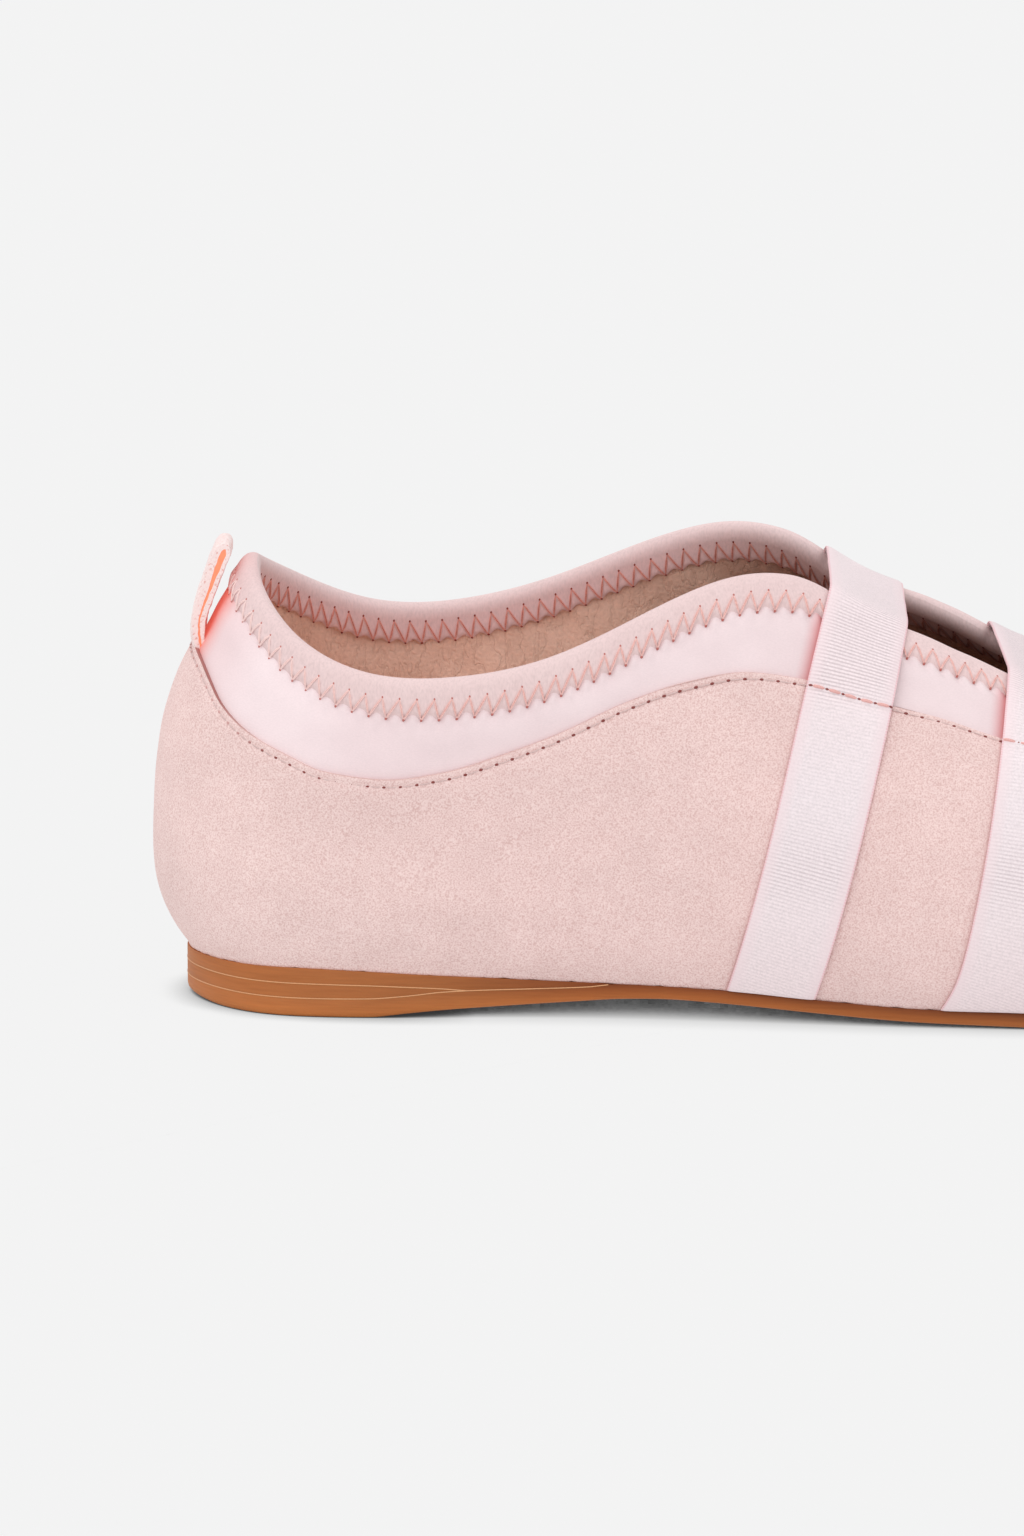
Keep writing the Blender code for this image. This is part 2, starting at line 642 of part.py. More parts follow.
def make_pull_loop(finish):
    """Folded webbing that stands up behind the heel."""
    knots = np.linspace(0.0, 1.0, len(LOOP_PATH))
    at = np.linspace(0.0, 1.0, 2 * len(LOOP_PATH) - 1)
    xs = through(knots, column(LOOP_PATH, LOOP_COLUMNS, "x"), at)
    zs = through(knots, column(LOOP_PATH, LOOP_COLUMNS, "z"), at)
    path = np.column_stack([xs, np.zeros(len(xs)), zs])
    ahead = np.gradient(path, axis=0)
    ahead /= np.linalg.norm(ahead, axis=1)[:, None]
    facing = np.column_stack([ahead[:, 2], np.zeros(len(xs)), -ahead[:, 0]])
    ys = np.linspace(-0.5, 0.5, 3) * LOOP_WIDTH
    grid = np.array([[p + np.array([0.0, y, 0.0]) for y in ys] for p in path])
    faces_up = np.repeat(facing[:, None, :], len(ys), axis=1)
    thickness = np.full(len(xs), LOOP_SKIN)
    thickness[[0, 1, -2, -1]] = np.array([0.65, 0.8, 0.8, 0.65]) * LOOP_SKIN
    return ribbon("pull_loop", grid, faces_up, thickness, finish)


def make_finish(name):
    """Principled material of one finish."""
    colour, roughness = FINISHES[name]
    finish = bpy.data.materials.new(name)
    finish.use_nodes = True
    shader = finish.node_tree.nodes["Principled BSDF"]
    shader.inputs["Base Color"].default_value = (*colour, 1.0)
    shader.inputs["Roughness"].default_value = roughness
    shader.inputs["Metallic"].default_value = 0.0
    finish.diffuse_color = (*colour, 1.0)
    return finish


def stand_on_origin(parts):
    """Put the middle of the shoe's box over the origin with the tread on the ground."""
    corners = np.array([v.co[:] for part in parts for v in part.data.vertices])
    low = corners.min(axis=0)
    high = corners.max(axis=0)
    for part in parts:
        part.location = (-0.5 * (low[0] + high[0]), -0.5 * (low[1] + high[1]), -low[2])


for old in list(bpy.data.objects):
    bpy.data.objects.remove(old, do_unlink=True)

shoe = bpy.data.collections.new("ballet_sneaker")
bpy.context.scene.collection.children.link(shoe)
finishes = {name: make_finish(name) for name in FINISHES}

pieces = [make_upper(finishes["suede"]), make_binding(finishes["binding"])]
pieces.append(make_outsole(finishes["gum"]))
pieces.extend(make_heel_layers(finishes["gum"]))
pieces.append(make_insole(finishes["insole leather"]))
for one_strap in STRAPS:
    pieces.append(make_strap(one_strap, finishes["elastic"]))
pieces.append(make_pull_loop(finishes["webbing"]))
stand_on_origin(pieces)
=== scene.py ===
"""Ballet sneaker for a right foot, dressed around its CAD frame.

Every piece is drawn from the same measures as the solids: suede panel, satin panel, lining, collar
binding with its zigzag stitch, topstitched panel edge, elastic straps, pull loop, insole and the
three gum layers of the sole. Lengths inside the functions are in millimetres, measured from the back
of the heel; `new_piece` turns them into the frame's metres.
"""
import math

import bpy
import numpy as np
from bpy.props import FloatProperty, FloatVectorProperty, IntProperty, PointerProperty
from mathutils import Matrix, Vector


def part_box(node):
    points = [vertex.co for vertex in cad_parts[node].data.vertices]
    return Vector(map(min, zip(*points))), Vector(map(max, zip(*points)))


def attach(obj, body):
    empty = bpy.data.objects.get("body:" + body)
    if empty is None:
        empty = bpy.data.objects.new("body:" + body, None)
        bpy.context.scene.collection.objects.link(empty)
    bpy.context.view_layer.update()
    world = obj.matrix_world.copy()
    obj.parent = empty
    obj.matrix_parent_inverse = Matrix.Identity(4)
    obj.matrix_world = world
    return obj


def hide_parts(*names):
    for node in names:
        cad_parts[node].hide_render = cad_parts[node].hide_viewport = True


bl_info = {
    "name": "Ballet Sneaker",
    "version": (1, 0, 0),
    "blender": (4, 5, 0),
    "location": "View3D > Sidebar > Sneaker",
    "description": "Builds the visible pieces of a ballet sneaker around its frame",
    "category": "Add Mesh",
}

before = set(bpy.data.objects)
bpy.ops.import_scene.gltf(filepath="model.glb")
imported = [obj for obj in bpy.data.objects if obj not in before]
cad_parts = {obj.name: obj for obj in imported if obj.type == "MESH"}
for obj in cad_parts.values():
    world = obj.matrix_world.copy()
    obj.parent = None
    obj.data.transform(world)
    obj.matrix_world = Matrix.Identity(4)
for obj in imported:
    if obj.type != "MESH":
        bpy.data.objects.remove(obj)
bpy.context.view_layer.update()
MM = 0.001

# --- the shoe's own measures, shared with its solids ---------------------------------------------
GAP = 0.3                 # between neighbouring solids
WALL = 2.0                # the upper's wall without the suede panel
SUEDE = 0.8               # how far the suede panel stands out of it
BAND_DEPTH = 7.0          # the binding, down from the collar's crest
BAND_WIDTH = 3.8          # the binding, from its outer to its inner face
MARGIN_SKIN = 1.6         # thickness of the wall turned in under the foot
SOLE_LEDGE = 0.5          # how far the sole stands out past the upper
INSOLE = 3.0
STRAP_CLOTH = 0.8         # the woven elastic itself
STRAP_LIFT = 0.22         # its clearance over the panels
STRAP_PRESS = 1.5         # how far a strap presses the soft collar down
STRAP_PRESS_RUN = 15.0    # the collar dips this far to either side of the strap's middle
STRAP_SWAY_RUN = 90.0     # height of one whole sway of a strap's middle line
STRAP_FLARE_RUN = 5.5     # height over which a strap's end swings back
STRAP_WIDTH = 15.4
LOOP_WIDTH = 13.0
LOOP_SKIN = 1.05          # usual thickness of the pull loop's tape
MERIDIAN_STEPS = 120      # points from the sole up to the collar
TUCK = 0.6                # share of the way down from its widest line where the wall turns in

# foot_x, foot_y, wide_x, wide_y, crest_x, crest_y, crest_z, a row for each section round the shoe
SECTIONS = (
    (6.0, 0.0, -0.2, 0.0, 17.9, 0.0, 76.4),
    (9.4, -11.6, 4.4, -15.2, 18.4, -8.6, 74.5),
    (18.0, -21.5, 16.5, -26.2, 24.6, -17.6, 65.9),
    (31.0, -25.5, 33.0, -30.4, 36.0, -23.9, 60.1),
    (50.0, -26.1, 52.0, -30.8, 51.0, -26.2, 59.3),
    (71.0, -26.8, 72.0, -31.6, 68.0, -24.8, 62.3),
    (92.0, -29.4, 92.0, -33.4, 84.0, -21.6, 69.1),
    (112.0, -32.3, 112.0, -36.5, 98.0, -19.1, 74.9),
    (132.0, -34.9, 132.0, -39.6, 110.0, -17.5, 75.6),
    (152.0, -36.5, 152.0, -41.7, 122.0, -16.3, 71.1),
    (171.0, -37.4, 172.0, -42.9, 136.0, -15.5, 63.2),
    (190.0, -36.7, 192.0, -42.0, 149.0, -14.7, 57.8),
    (208.0, -33.0, 210.5, -37.9, 160.0, -13.0, 54.4),
    (224.0, -26.3, 227.5, -30.2, 169.0, -9.6, 51.9),
    (236.2, -16.9, 240.2, -19.6, 174.9, -4.8, 50.5),
    (243.6, -7.2, 247.8, -8.0, 176.8, -1.6, 50.1),
    (246.0, 3.4, 250.0, 3.6, 177.2, 1.2, 50.0),
    (243.9, 13.4, 247.9, 14.6, 176.6, 4.2, 50.3),
    (237.1, 22.4, 240.8, 25.2, 174.6, 7.4, 51.0),
    (225.2, 29.9, 228.4, 34.0, 169.0, 11.2, 53.2),
    (209.0, 34.8, 211.0, 39.6, 160.0, 13.8, 56.3),
    (190.0, 36.6, 192.0, 41.6, 149.0, 14.9, 60.3),
    (171.0, 35.8, 172.0, 40.8, 136.0, 15.6, 65.7),
    (150.0, 32.8, 152.0, 38.0, 122.0, 16.3, 72.8),
    (130.0, 28.4, 132.0, 34.2, 110.0, 17.5, 78.2),
    (111.0, 24.4, 112.0, 30.6, 98.0, 19.1, 79.1),
    (92.0, 22.7, 92.0, 28.8, 84.0, 21.6, 74.9),
    (71.0, 23.9, 72.0, 28.6, 68.0, 24.8, 68.4),
    (50.0, 25.2, 52.0, 29.6, 51.0, 26.2, 64.4),
    (31.0, 25.5, 33.0, 30.2, 36.0, 23.9, 65.3),
    (18.0, 21.5, 16.5, 26.2, 24.6, 17.6, 70.6),
    (9.4, 11.6, 4.4, 15.2, 18.4, 8.6, 75.1),
)
# x of the widest line, its height, lean at the crest (degrees), hold, reach
WALL_TABLE = (
    (0.0, 26.0, 31.0, 0.53, 0.44),
    (16.0, 26.5, 20.0, 0.46, 0.37),
    (33.0, 26.5, 12.0, 0.40, 0.30),
    (60.0, 25.0, 13.0, 0.36, 0.30),
    (90.0, 23.0, 19.0, 0.34, 0.30),
    (120.0, 20.0, 27.0, 0.33, 0.30),
    (150.0, 18.0, 38.0, 0.31, 0.31),
    (175.0, 17.0, 50.0, 0.29, 0.33),
    (200.0, 17.0, 59.0, 0.29, 0.34),
    (225.0, 17.5, 65.0, 0.29, 0.37),
    (250.0, 18.0, 69.0, 0.26, 0.39),
)
# x, height of the suede panel's top edge
PANEL_EDGE = (
    (7.0, 61.9), (8.6, 59.5), (12.0, 53.6), (15.0, 50.6), (18.5, 48.3), (23.0, 46.2),
    (30.0, 43.4), (41.0, 42.2), (50.0, 43.4), (60.0, 46.4), (70.0, 50.1), (82.0, 55.5),
    (92.0, 58.8), (102.0, 60.5), (111.0, 59.6), (122.0, 56.5), (135.0, 53.0), (150.0, 48.7),
    (170.0, 46.6), (195.0, 45.6),
)
# x, tread face, top of the outsole, top of the lower heel layer, seat of the upper
SOLE_LINES = (
    (5.0, 0.6, 3.3, 5.85, 8.1),
    (13.0, 0.0, 3.3, 5.85, 8.3),
    (25.0, 0.0, 3.3, 5.85, 8.5),
    (37.0, 0.0, 3.4, 5.7, 8.1),
    (44.0, 0.7, 3.9, 5.45, 7.7),
    (50.0, 1.3, 4.6, 5.2, 7.4),
    (55.0, 1.7, 4.9, 4.9, 7.2),
    (66.0, 2.5, 5.3, 5.3, 6.75),
    (75.0, 3.2, 5.75, 5.75, 6.45),
    (80.0, 3.6, 6.3, 6.3, 6.3),
    (88.0, 3.8, 6.1, 6.1, 6.1),
    (96.0, 3.45, 5.8, 5.8, 5.8),
    (114.0, 2.1, 4.5, 4.5, 4.5),
    (131.0, 0.95, 3.35, 3.35, 3.35),
    (142.0, 0.6, 3.1, 3.1, 3.1),
    (154.0, 0.25, 3.0, 3.0, 3.0),
    (166.0, 0.0, 2.95, 2.95, 2.95),
    (188.0, 0.0, 2.95, 2.95, 2.95),
    (205.0, 0.8, 3.8, 3.8, 3.8),
    (220.0, 2.2, 5.2, 5.2, 5.2),
    (235.0, 4.2, 7.2, 7.2, 7.2),
    (248.0, 6.4, 9.4, 9.4, 9.4),
)
UNDER, TREAD, LIFT, SEAT = 1, 2, 3, 4
LIFT_TIP = 54.6           # the two heel layers run out to thin tips
WEDGE_TIP = 79.6
# name, x of its middle line on the ground, lean forward going up, sway, flare back at its lower end,
# how much further back it lies on the inner side
STRAPS = (
    ("strap_rear", 104.8, 0.266, 0.45, 0.0, 0.0),
    ("strap_front", 143.5, 0.200, 0.7, 2.4, 2.2),
)
# middle of the pull loop's webbing: x, z
LOOP_PATH = (
    (8.5, 64.6), (8.85, 66.2), (9.55, 68.4), (10.5, 70.9), (11.4, 73.3), (12.4, 75.8),
    (13.15, 77.6), (13.05, 78.5), (12.25, 78.85), (11.3, 78.3), (10.15, 75.7), (8.85, 72.0),
    (7.85, 69.2), (7.2, 66.2), (6.95, 64.2), (6.95, 62.5),
)
# thickness of the folded tape at each of those points: the outer leg is folded thicker
LOOP_BULK = (1.2, 1.25, 1.2, 1.1, 0.95, 0.9, 0.95, 1.1, 1.3, 1.5, 1.65, 1.8, 1.75, 1.6, 1.4, 1.2)
# the heel back of the outsole lies at this x, so the frame's box says where the heel is
HEEL_OF_SOLE = SECTIONS[0][0] - SOLE_LEDGE
LOOP_INNER_LEG = 7        # so many points of LOOP_PATH belong to the leg next to the shoe

# --- the scene's own measures ----------------------------------------------------------------------
SUEDE_STATIONS = 520      # sections drawn round the shoe
LINING_STATIONS = 560
COLLAR_STATIONS = 1240
HEEL_STATIONS = 80        # places along a heel layer
STRAP_SIDE_ROWS = 70      # rows of a strap up each side, before it bends over the collar
ZIGZAG_STEPS = 14         # points along one zigzag
ZIGZAG_SLANT = 11         # of these, up the leaning leg; the leg coming down is steep
STITCH_STEPS = 8          # points along one topstitch
STITCHED_STRAP = STRAP_LIFT + STRAP_CLOTH - 0.3    # where the topstitch pulls a strap's face to
# the suede's cut edge: run over the panel's top, how far out
CUT_EDGE = np.array(((-0.12, -0.16), (0.02, -0.32), (0.02, -SUEDE - 0.05), (-0.3, -SUEDE - 0.3)))
# outer half of the binding's crown: run down from the crest, how far out
CROWN = ((1.7, -0.12), (1.05, -0.36), (0.55, -0.74), (0.2, -1.2), (0.02, -1.65))
FACE_TOP = 2.4            # the crown passes into the binding's flat faces this far down
# suns: name, energy, size of the disc and turn in degrees
LIGHTS = (("key", 0.7, 70.0, (38.0, 0.0, -28.0)),
          ("fill", 0.4, 90.0, (62.0, 0.0, 35.0)),
          ("overhead", 0.6, 60.0, (-12.0, -14.0, 0.0)))
FLOOR = 14.0              # half the floor's side, in metres
SHADOW_REACH = 0.0195     # metres over which the floor darkens near the shoe
CAMERA_RISE = 10.0        # degrees over the floor
CAMERA_DISTANCE = 1.55    # metres
SEEN_HEIGHT = 0.267       # metres from the top of the picture to its foot
AIM = (62.1, 0.0, 39.0)   # what the camera looks at


def linear(code):
    """sRGB hex colour as linear RGBA."""
    parts = [int(code[k:k + 2], 16) / 255.0 for k in (1, 3, 5)]
    return tuple(c / 12.92 if c <= 0.04045 else ((c + 0.055) / 1.055) ** 2.4 for c in parts) + (1.0,)


# --- sizes and colours a user may change -----------------------------------------------------------
class SneakerSizes(bpy.types.PropertyGroup):
    """Sizes of the sewn and woven detail."""

    zigzag_pitch: FloatProperty(
        name="Zigzag pitch", description="Run of one zigzag along the collar",
        default=0.00305, min=0.0015, max=0.006, unit="LENGTH")
    zigzag_height: FloatProperty(
        name="Zigzag height", description="From the lower to the upper needle holes",
        default=0.0036, min=0.002, max=0.005, unit="LENGTH")
    topstitch_pitch: FloatProperty(
        name="Topstitch pitch", description="Needle hole to needle hole along the suede edge",
        default=0.0028, min=0.0015, max=0.005, unit="LENGTH")
    topstitch_inset: FloatProperty(
        name="Topstitch inset", description="From the suede edge down to the stitches",
        default=0.0013, min=0.0008, max=0.003, unit="LENGTH")
    thread: FloatProperty(
        name="Thread", description="Diameter of the sewing thread",
        default=0.00028, min=0.0001, max=0.0006, unit="LENGTH")
    scallop: FloatProperty(
        name="Scallop", description="How far the binding's edge rises between two stitches",
        default=0.0007, min=0.0, max=0.0015, unit="LENGTH")
    # real ribs lie about half a millimetre apart; drawn a little coarser so that they can be told apart
    rib_pitch: FloatProperty(
        name="Elastic ribs", description="Rib to rib along the elastic",
        default=0.00066, min=0.0003, max=0.0015, unit="LENGTH")
    rows: IntProperty(
        name="Rows", description="Rows drawn up the suede panel", default=64, min=16, max=120)


class SneakerColours(bpy.types.PropertyGroup):
    """Colours of the finishes."""

    suede: FloatVectorProperty(
        name="Suede", description="Brushed suede", subtype="COLOR", size=4, min=0, max=1,
        default=linear("#EDCFCB"))
    satin: FloatVectorProperty(
        name="Satin", description="Stretch satin", subtype="COLOR", size=4, min=0, max=1,
        default=linear("#F1DDDF"))
    binding: FloatVectorProperty(
        name="Binding", description="Brushed knit of the collar", subtype="COLOR", size=4,
        min=0, max=1, default=linear("#E9D0CF"))
    elastic: FloatVectorProperty(
        name="Elastic", description="Woven elastic", subtype="COLOR", size=4, min=0, max=1,
        default=linear("#F1E5E8"))
    webbing: FloatVectorProperty(
        name="Webbing", description="Folded tape of the pull loop", subtype="COLOR", size=4,
        min=0, max=1, default=linear("#FCE6E3"))
    lining: FloatVectorProperty(
        name="Lining", description="Tan lining leather", subtype="COLOR", size=4, min=0, max=1,
        default=linear("#FCD4C0"))
    gum: FloatVectorProperty(
        name="Gum", description="Gum rubber", subtype="COLOR", size=4, min=0, max=1,
        default=linear("#BC723F"))
    thread: FloatVectorProperty(
        name="Thread", description="Pink sewing thread", subtype="COLOR", size=4, min=0, max=1,
        default=linear("#F6C9C2"))
    hole: FloatVectorProperty(
        name="Needle holes", description="Shade in the needle holes", subtype="COLOR", size=4,
        min=0, max=1, default=linear("#C27672"))


def sizes():
    """The sizes in use."""
    return bpy.context.scene.sneaker_sizes


def colours():
    """The colours in use."""
    return bpy.context.scene.sneaker_colours


# --- curves and surfaces ------------------------------------------------------------------------------
UP = np.array([0.0, 0.0, 1.0])
ROUND_STEPS = 900         # places round the shoe when an edge is measured
FOOT, WIDE = slice(0, 2), slice(2, 4)    # the x, y columns of SECTIONS


def unit(vectors):
    """Vectors made 1 long."""
    return vectors / np.linalg.norm(vectors, axis=-1, keepdims=True)


def runs_along(line):
    """Run along a line of points, from 0 at its first."""
    return np.concatenate(([0.0], np.cumsum(np.linalg.norm(np.diff(line, axis=0), axis=1))))


def read_off(at, places, rows):
    """Rows of values read off at places along them."""
    return np.column_stack([np.interp(at, places, rows[:, k]) for k in range(rows.shape[1])])


def bell(distance, width):
    """A soft bump that fades over `width`."""
    return np.exp(-(distance / width) ** 2)


def through(table, column, at):
    """Value of a table column at x: a curve through its rows that never overshoots them."""
    rows = np.array(table, dtype=float)
    xs = rows[:, 0]
    ys = rows[:, column]
    at = np.clip(np.asarray(at, dtype=float), xs[0], xs[-1])
    steps = np.diff(xs)
    slopes = np.diff(ys) / steps
    ends = np.zeros(len(xs))
    same = slopes[:-1] * slopes[1:] > 0.0
    before = 2.0 * steps[1:] + steps[:-1]
    after = steps[1:] + 2.0 * steps[:-1]
    inner = np.zeros(len(same))
    inner[same] = (before + after)[same] / (before[same] / slopes[:-1][same]
                                            + after[same] / slopes[1:][same])
    ends[1:-1] = inner
    ends[0] = slopes[0]
    ends[-1] = slopes[-1]
    span = np.clip(np.searchsorted(xs, at, side="right") - 1, 0, len(xs) - 2)
    run = steps[span]
    u = (at - xs[span]) / run
    return ((1 + 2 * u) * (1 - u) ** 2 * ys[span] + u * (1 - u) ** 2 * run * ends[span]
            + u * u * (3 - 2 * u) * ys[span + 1] + u * u * (u - 1) * run * ends[span + 1])


def sole_line(which, x):
    """Height of one of the sole's side lines at x."""
    return through(SOLE_LINES, which, x)


def section_knots():
    """Places of the sections round the shoe."""
    wide = np.array([row[WIDE] for row in SECTIONS])
    return runs_along(np.vstack([wide, wide[:1]]))


def whole_round():
    """Length of the widest line, the measure of places round the shoe."""
    return section_knots()[-1]


def round_the_shoe(at):
    """Section values at any place round the shoe, on a smooth closed curve."""
    knots = section_knots()
    values = np.array(SECTIONS, dtype=float)
    count = len(values)
    steps = np.diff(knots)
    system = np.zeros((count, count))
    right = np.zeros_like(values)
    for i in range(count):
        before = steps[i - 1]
        after = steps[i]
        system[i, i - 1] += before
        system[i, i] += 2.0 * (before + after)
        system[i, (i + 1) % count] += after
        right[i] = 6.0 * ((values[(i + 1) % count] - values[i]) / after
                          - (values[i] - values[i - 1]) / before)
    bends = np.linalg.solve(system, right)
    at = np.mod(np.asarray(at, dtype=float), knots[-1])
    span = np.clip(np.searchsorted(knots, at, side="right") - 1, 0, count - 1)
    run = steps[span][:, None]
    v = (at - knots[span])[:, None] / run
    u = 1.0 - v
    following = (span + 1) % count
    return (u * values[span] + v * values[following]
            + run * run / 6.0 * ((u ** 3 - u) * bends[span] + (v ** 3 - v) * bends[following]))


def way_in(at, columns):
    """Level directions that point in, square to the run of one of the sections' lines."""
    ahead = unit(round_the_shoe(at + 0.5)[:, columns] - round_the_shoe(at - 0.5)[:, columns])
    return np.column_stack([-ahead[:, 1], ahead[:, 0]])


def strap_middle(strap, y, z):
    """x of a strap's middle line at some heights; the inner side has positive y."""
    _, sole_x, lean, sway, flare, inner_back = strap
    return (sole_x + lean * z + sway * np.sin(2.0 * math.pi * z / STRAP_SWAY_RUN)
            - flare * bell(z, STRAP_FLARE_RUN) - inner_back * (np.asarray(y) > 0.0))


def pressed_down(x, y, z):
    """How far the straps press the collar's crest down at some places."""
    total = np.zeros(len(x))
    for strap in STRAPS:
        off = np.clip((x - strap_middle(strap, y, z)) / STRAP_PRESS_RUN, -1.0, 1.0)
        total += STRAP_PRESS * np.cos(0.5 * math.pi * off) ** 2
    return total


def meridians(at):
    """Outer surface from the sole to the collar crest, one line of points for each place."""
    rows = round_the_shoe(at)
    rows[:, 6] -= pressed_down(rows[:, 4], rows[:, 5], rows[:, 6])
    wide_x = rows[:, 2]
    level = np.column_stack([way_in(at, WIDE), np.zeros(len(at))])
    foot = np.column_stack([rows[:, FOOT], sole_line(SEAT, rows[:, 0]) + GAP])
    wide = np.column_stack([rows[:, WIDE], through(WALL_TABLE, 1, wide_x)])
    lean = np.radians(through(WALL_TABLE, 2, wide_x))[:, None]
    rising = np.sin(lean) * level + np.cos(lean) * UP
    outward = -np.cos(lean) * level + np.sin(lean) * UP
    crest = rows[:, 4:7] + 0.5 * BAND_WIDTH * outward
    run = np.linalg.norm(crest - wide, axis=1)[:, None]
    knee = wide - TUCK * (wide[:, 2] - foot[:, 2])[:, None] * UP
    first = wide + through(WALL_TABLE, 3, wide_x)[:, None] * run * UP
    second = crest - through(WALL_TABLE, 4, wide_x)[:, None] * run * rising
    third = MERIDIAN_STEPS // 3
    low = [(1 - v) ** 2 * foot + 2 * v * (1 - v) * knee + v * v * wide
           for v in np.linspace(0.0, 1.0, third, endpoint=False)]
    high = [(1 - v) ** 3 * wide + 3 * v * (1 - v) ** 2 * first + 3 * v * v * (1 - v) * second + v ** 3 * crest
            for v in np.linspace(0.0, 1.0, MERIDIAN_STEPS - third)]
    return np.stack(low + high, axis=1)


class Skin:
    """The upper's outer surface at some places round the shoe."""

    def __init__(self, at):
        self.at = at
        self.points = meridians(at)
        along = meridians(at + 0.4) - meridians(at - 0.4)
        self.normals = unit(np.cross(along, np.gradient(self.points, axis=1)))
        steps = np.linalg.norm(np.diff(self.points, axis=1), axis=2)
        self.runs = np.concatenate([np.zeros((len(at), 1)), np.cumsum(steps, axis=1)], axis=1)
        self.length = self.runs[:, -1]

    def line(self, station, rises, outs):
        """Points and outward directions at runs up from the sole edge."""
        runs = self.runs[station]
        faces = unit(read_off(rises, runs, self.normals[station]))
        spots = read_off(rises, runs, self.points[station])
        return spots + np.broadcast_to(outs, len(rises))[:, None] * faces, faces

    def spot(self, station, rise, out):
        """One point and its outward direction."""
        spots, faces = self.line(station, np.array([rise]), out)
        return spots[0], faces[0]

    def panel_rises(self):
        """Run from the sole edge to the suede panel's top edge, for each station."""
        over = self.points[:, :, 2] - through(PANEL_EDGE, 1, self.points[:, :, 0])
        after = np.argmax(over > 0.0, axis=1)
        rows = np.arange(len(after))
        share = over[rows, after - 1] / (over[rows, after - 1] - over[rows, after])
        return self.runs[rows, after - 1] + share * (self.runs[rows, after] - self.runs[rows, after - 1])


def skin_round(count):
    """The outer surface at evenly spaced places all the way round."""
    return Skin(np.linspace(0.0, whole_round(), count, endpoint=False))


def even_places(count, rises_on):
    """Places round the shoe an even run apart along an edge, and that edge's length; `rises_on` gives
    the edge's run up a skin."""
    skin = skin_round(ROUND_STEPS)
    edge = np.array([skin.spot(j, rise, 0.0)[0] for j, rise in enumerate(rises_on(skin))])
    runs = runs_along(np.vstack([edge, edge[:1]]))
    at = np.concatenate([skin.at, [whole_round()]])
    return np.interp(np.linspace(0.0, runs[-1], count, endpoint=False), runs, at), runs[-1]


def crest_places(count):
    """Even places along the lower edge of the binding."""
    return even_places(count, lambda skin: skin.length - BAND_DEPTH)


def panel_places(count):
    """Even places along the suede panel's top edge."""
    return even_places(count, Skin.panel_rises)


def foot_outline(inset, count=ROUND_STEPS):
    """Bottom edge of the upper moved in, or out if negative."""
    at = np.linspace(0.0, whole_round(), count, endpoint=False)
    return round_the_shoe(at)[:, FOOT] + inset * way_in(at, FOOT)


def ripple(points, size, seed, waves=9):
    """Soft random relief, mostly from -1 to 1, its bumps about `size` millimetres apart."""
    dice = np.random.default_rng(seed)
    total = np.zeros(points.shape[:-1])
    for _ in range(waves):
        way = dice.normal(size=3)
        way *= dice.uniform(0.6, 1.5) * 2.0 * math.pi / size / np.linalg.norm(way)
        total += np.sin(points @ way + dice.uniform(0.0, 2.0 * math.pi))
    return total / math.sqrt(waves)


# --- meshes --------------------------------------------------------------------------------------------
def heel_shift():
    """Where the back of the heel stands in the frame, in metres."""
    low_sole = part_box("outsole")[0]
    low_loop, high_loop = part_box("pull_loop")
    return np.array([low_sole[0] - HEEL_OF_SOLE * MM, 0.5 * (low_loop[1] + high_loop[1]), 0.0])


def new_piece(name, points, faces, finish, replaced=(), uvs=None, sharp=50.0):
    """A mesh piece from points in millimetres, riding on the shoe; uvs gives (u, v) by face corner."""
    mesh = bpy.data.meshes.new(name)
    mesh.from_pydata([tuple(p) for p in np.asarray(points) * MM + heel_shift()], [], faces)
    if uvs is not None:
        layer = mesh.uv_layers.new(name="UVMap")
        layer.data.foreach_set("uv", np.asarray(uvs, dtype=float).reshape(-1))
    mesh.polygons.foreach_set("use_smooth", [True] * len(mesh.polygons))
    mesh.set_sharp_from_angle(angle=math.radians(sharp))
    mesh.materials.append(finish)
    piece = bpy.data.objects.new(name, mesh)
    bpy.context.scene.collection.objects.link(piece)
    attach(piece, "root")
    for node in replaced:
        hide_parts(node)
    return piece


def sheet_faces(rows, columns, wrap_rows, wrap_columns=False, start=0):
    """Quads of a grid of points, closed round in either direction."""
    faces = []
    for i in range(rows if wrap_rows else rows - 1):
        j = (i + 1) % rows
        for k in range(columns if wrap_columns else columns - 1):
            m = (k + 1) % columns
            faces.append((start + i * columns + k, start + j * columns + k,
                          start + j * columns + m, start + i * columns + m))
    return faces


def end_faces(forward, backward, sides):
    """The two faces that close a tube, by the first point of each."""
    return [tuple(forward + k for k in range(sides)), tuple(backward + k for k in reversed(range(sides)))]


def ring_piece(name, rings, finish, replaced=(), sharp=50.0):
    """A band of section lines all the way round the shoe; v runs across it from 0 to 1."""
    grid = np.array(rings)
    rows, columns = grid.shape[:2]
    uvs = [(u / rows, v / (columns - 1)) for i in range(rows) for k in range(columns - 1)
           for u, v in ((i, k), (i + 1, k), (i + 1, k + 1), (i, k + 1))]
    return new_piece(name, grid.reshape(-1, 3), sheet_faces(rows, columns, True), finish, replaced, uvs,
                     sharp)


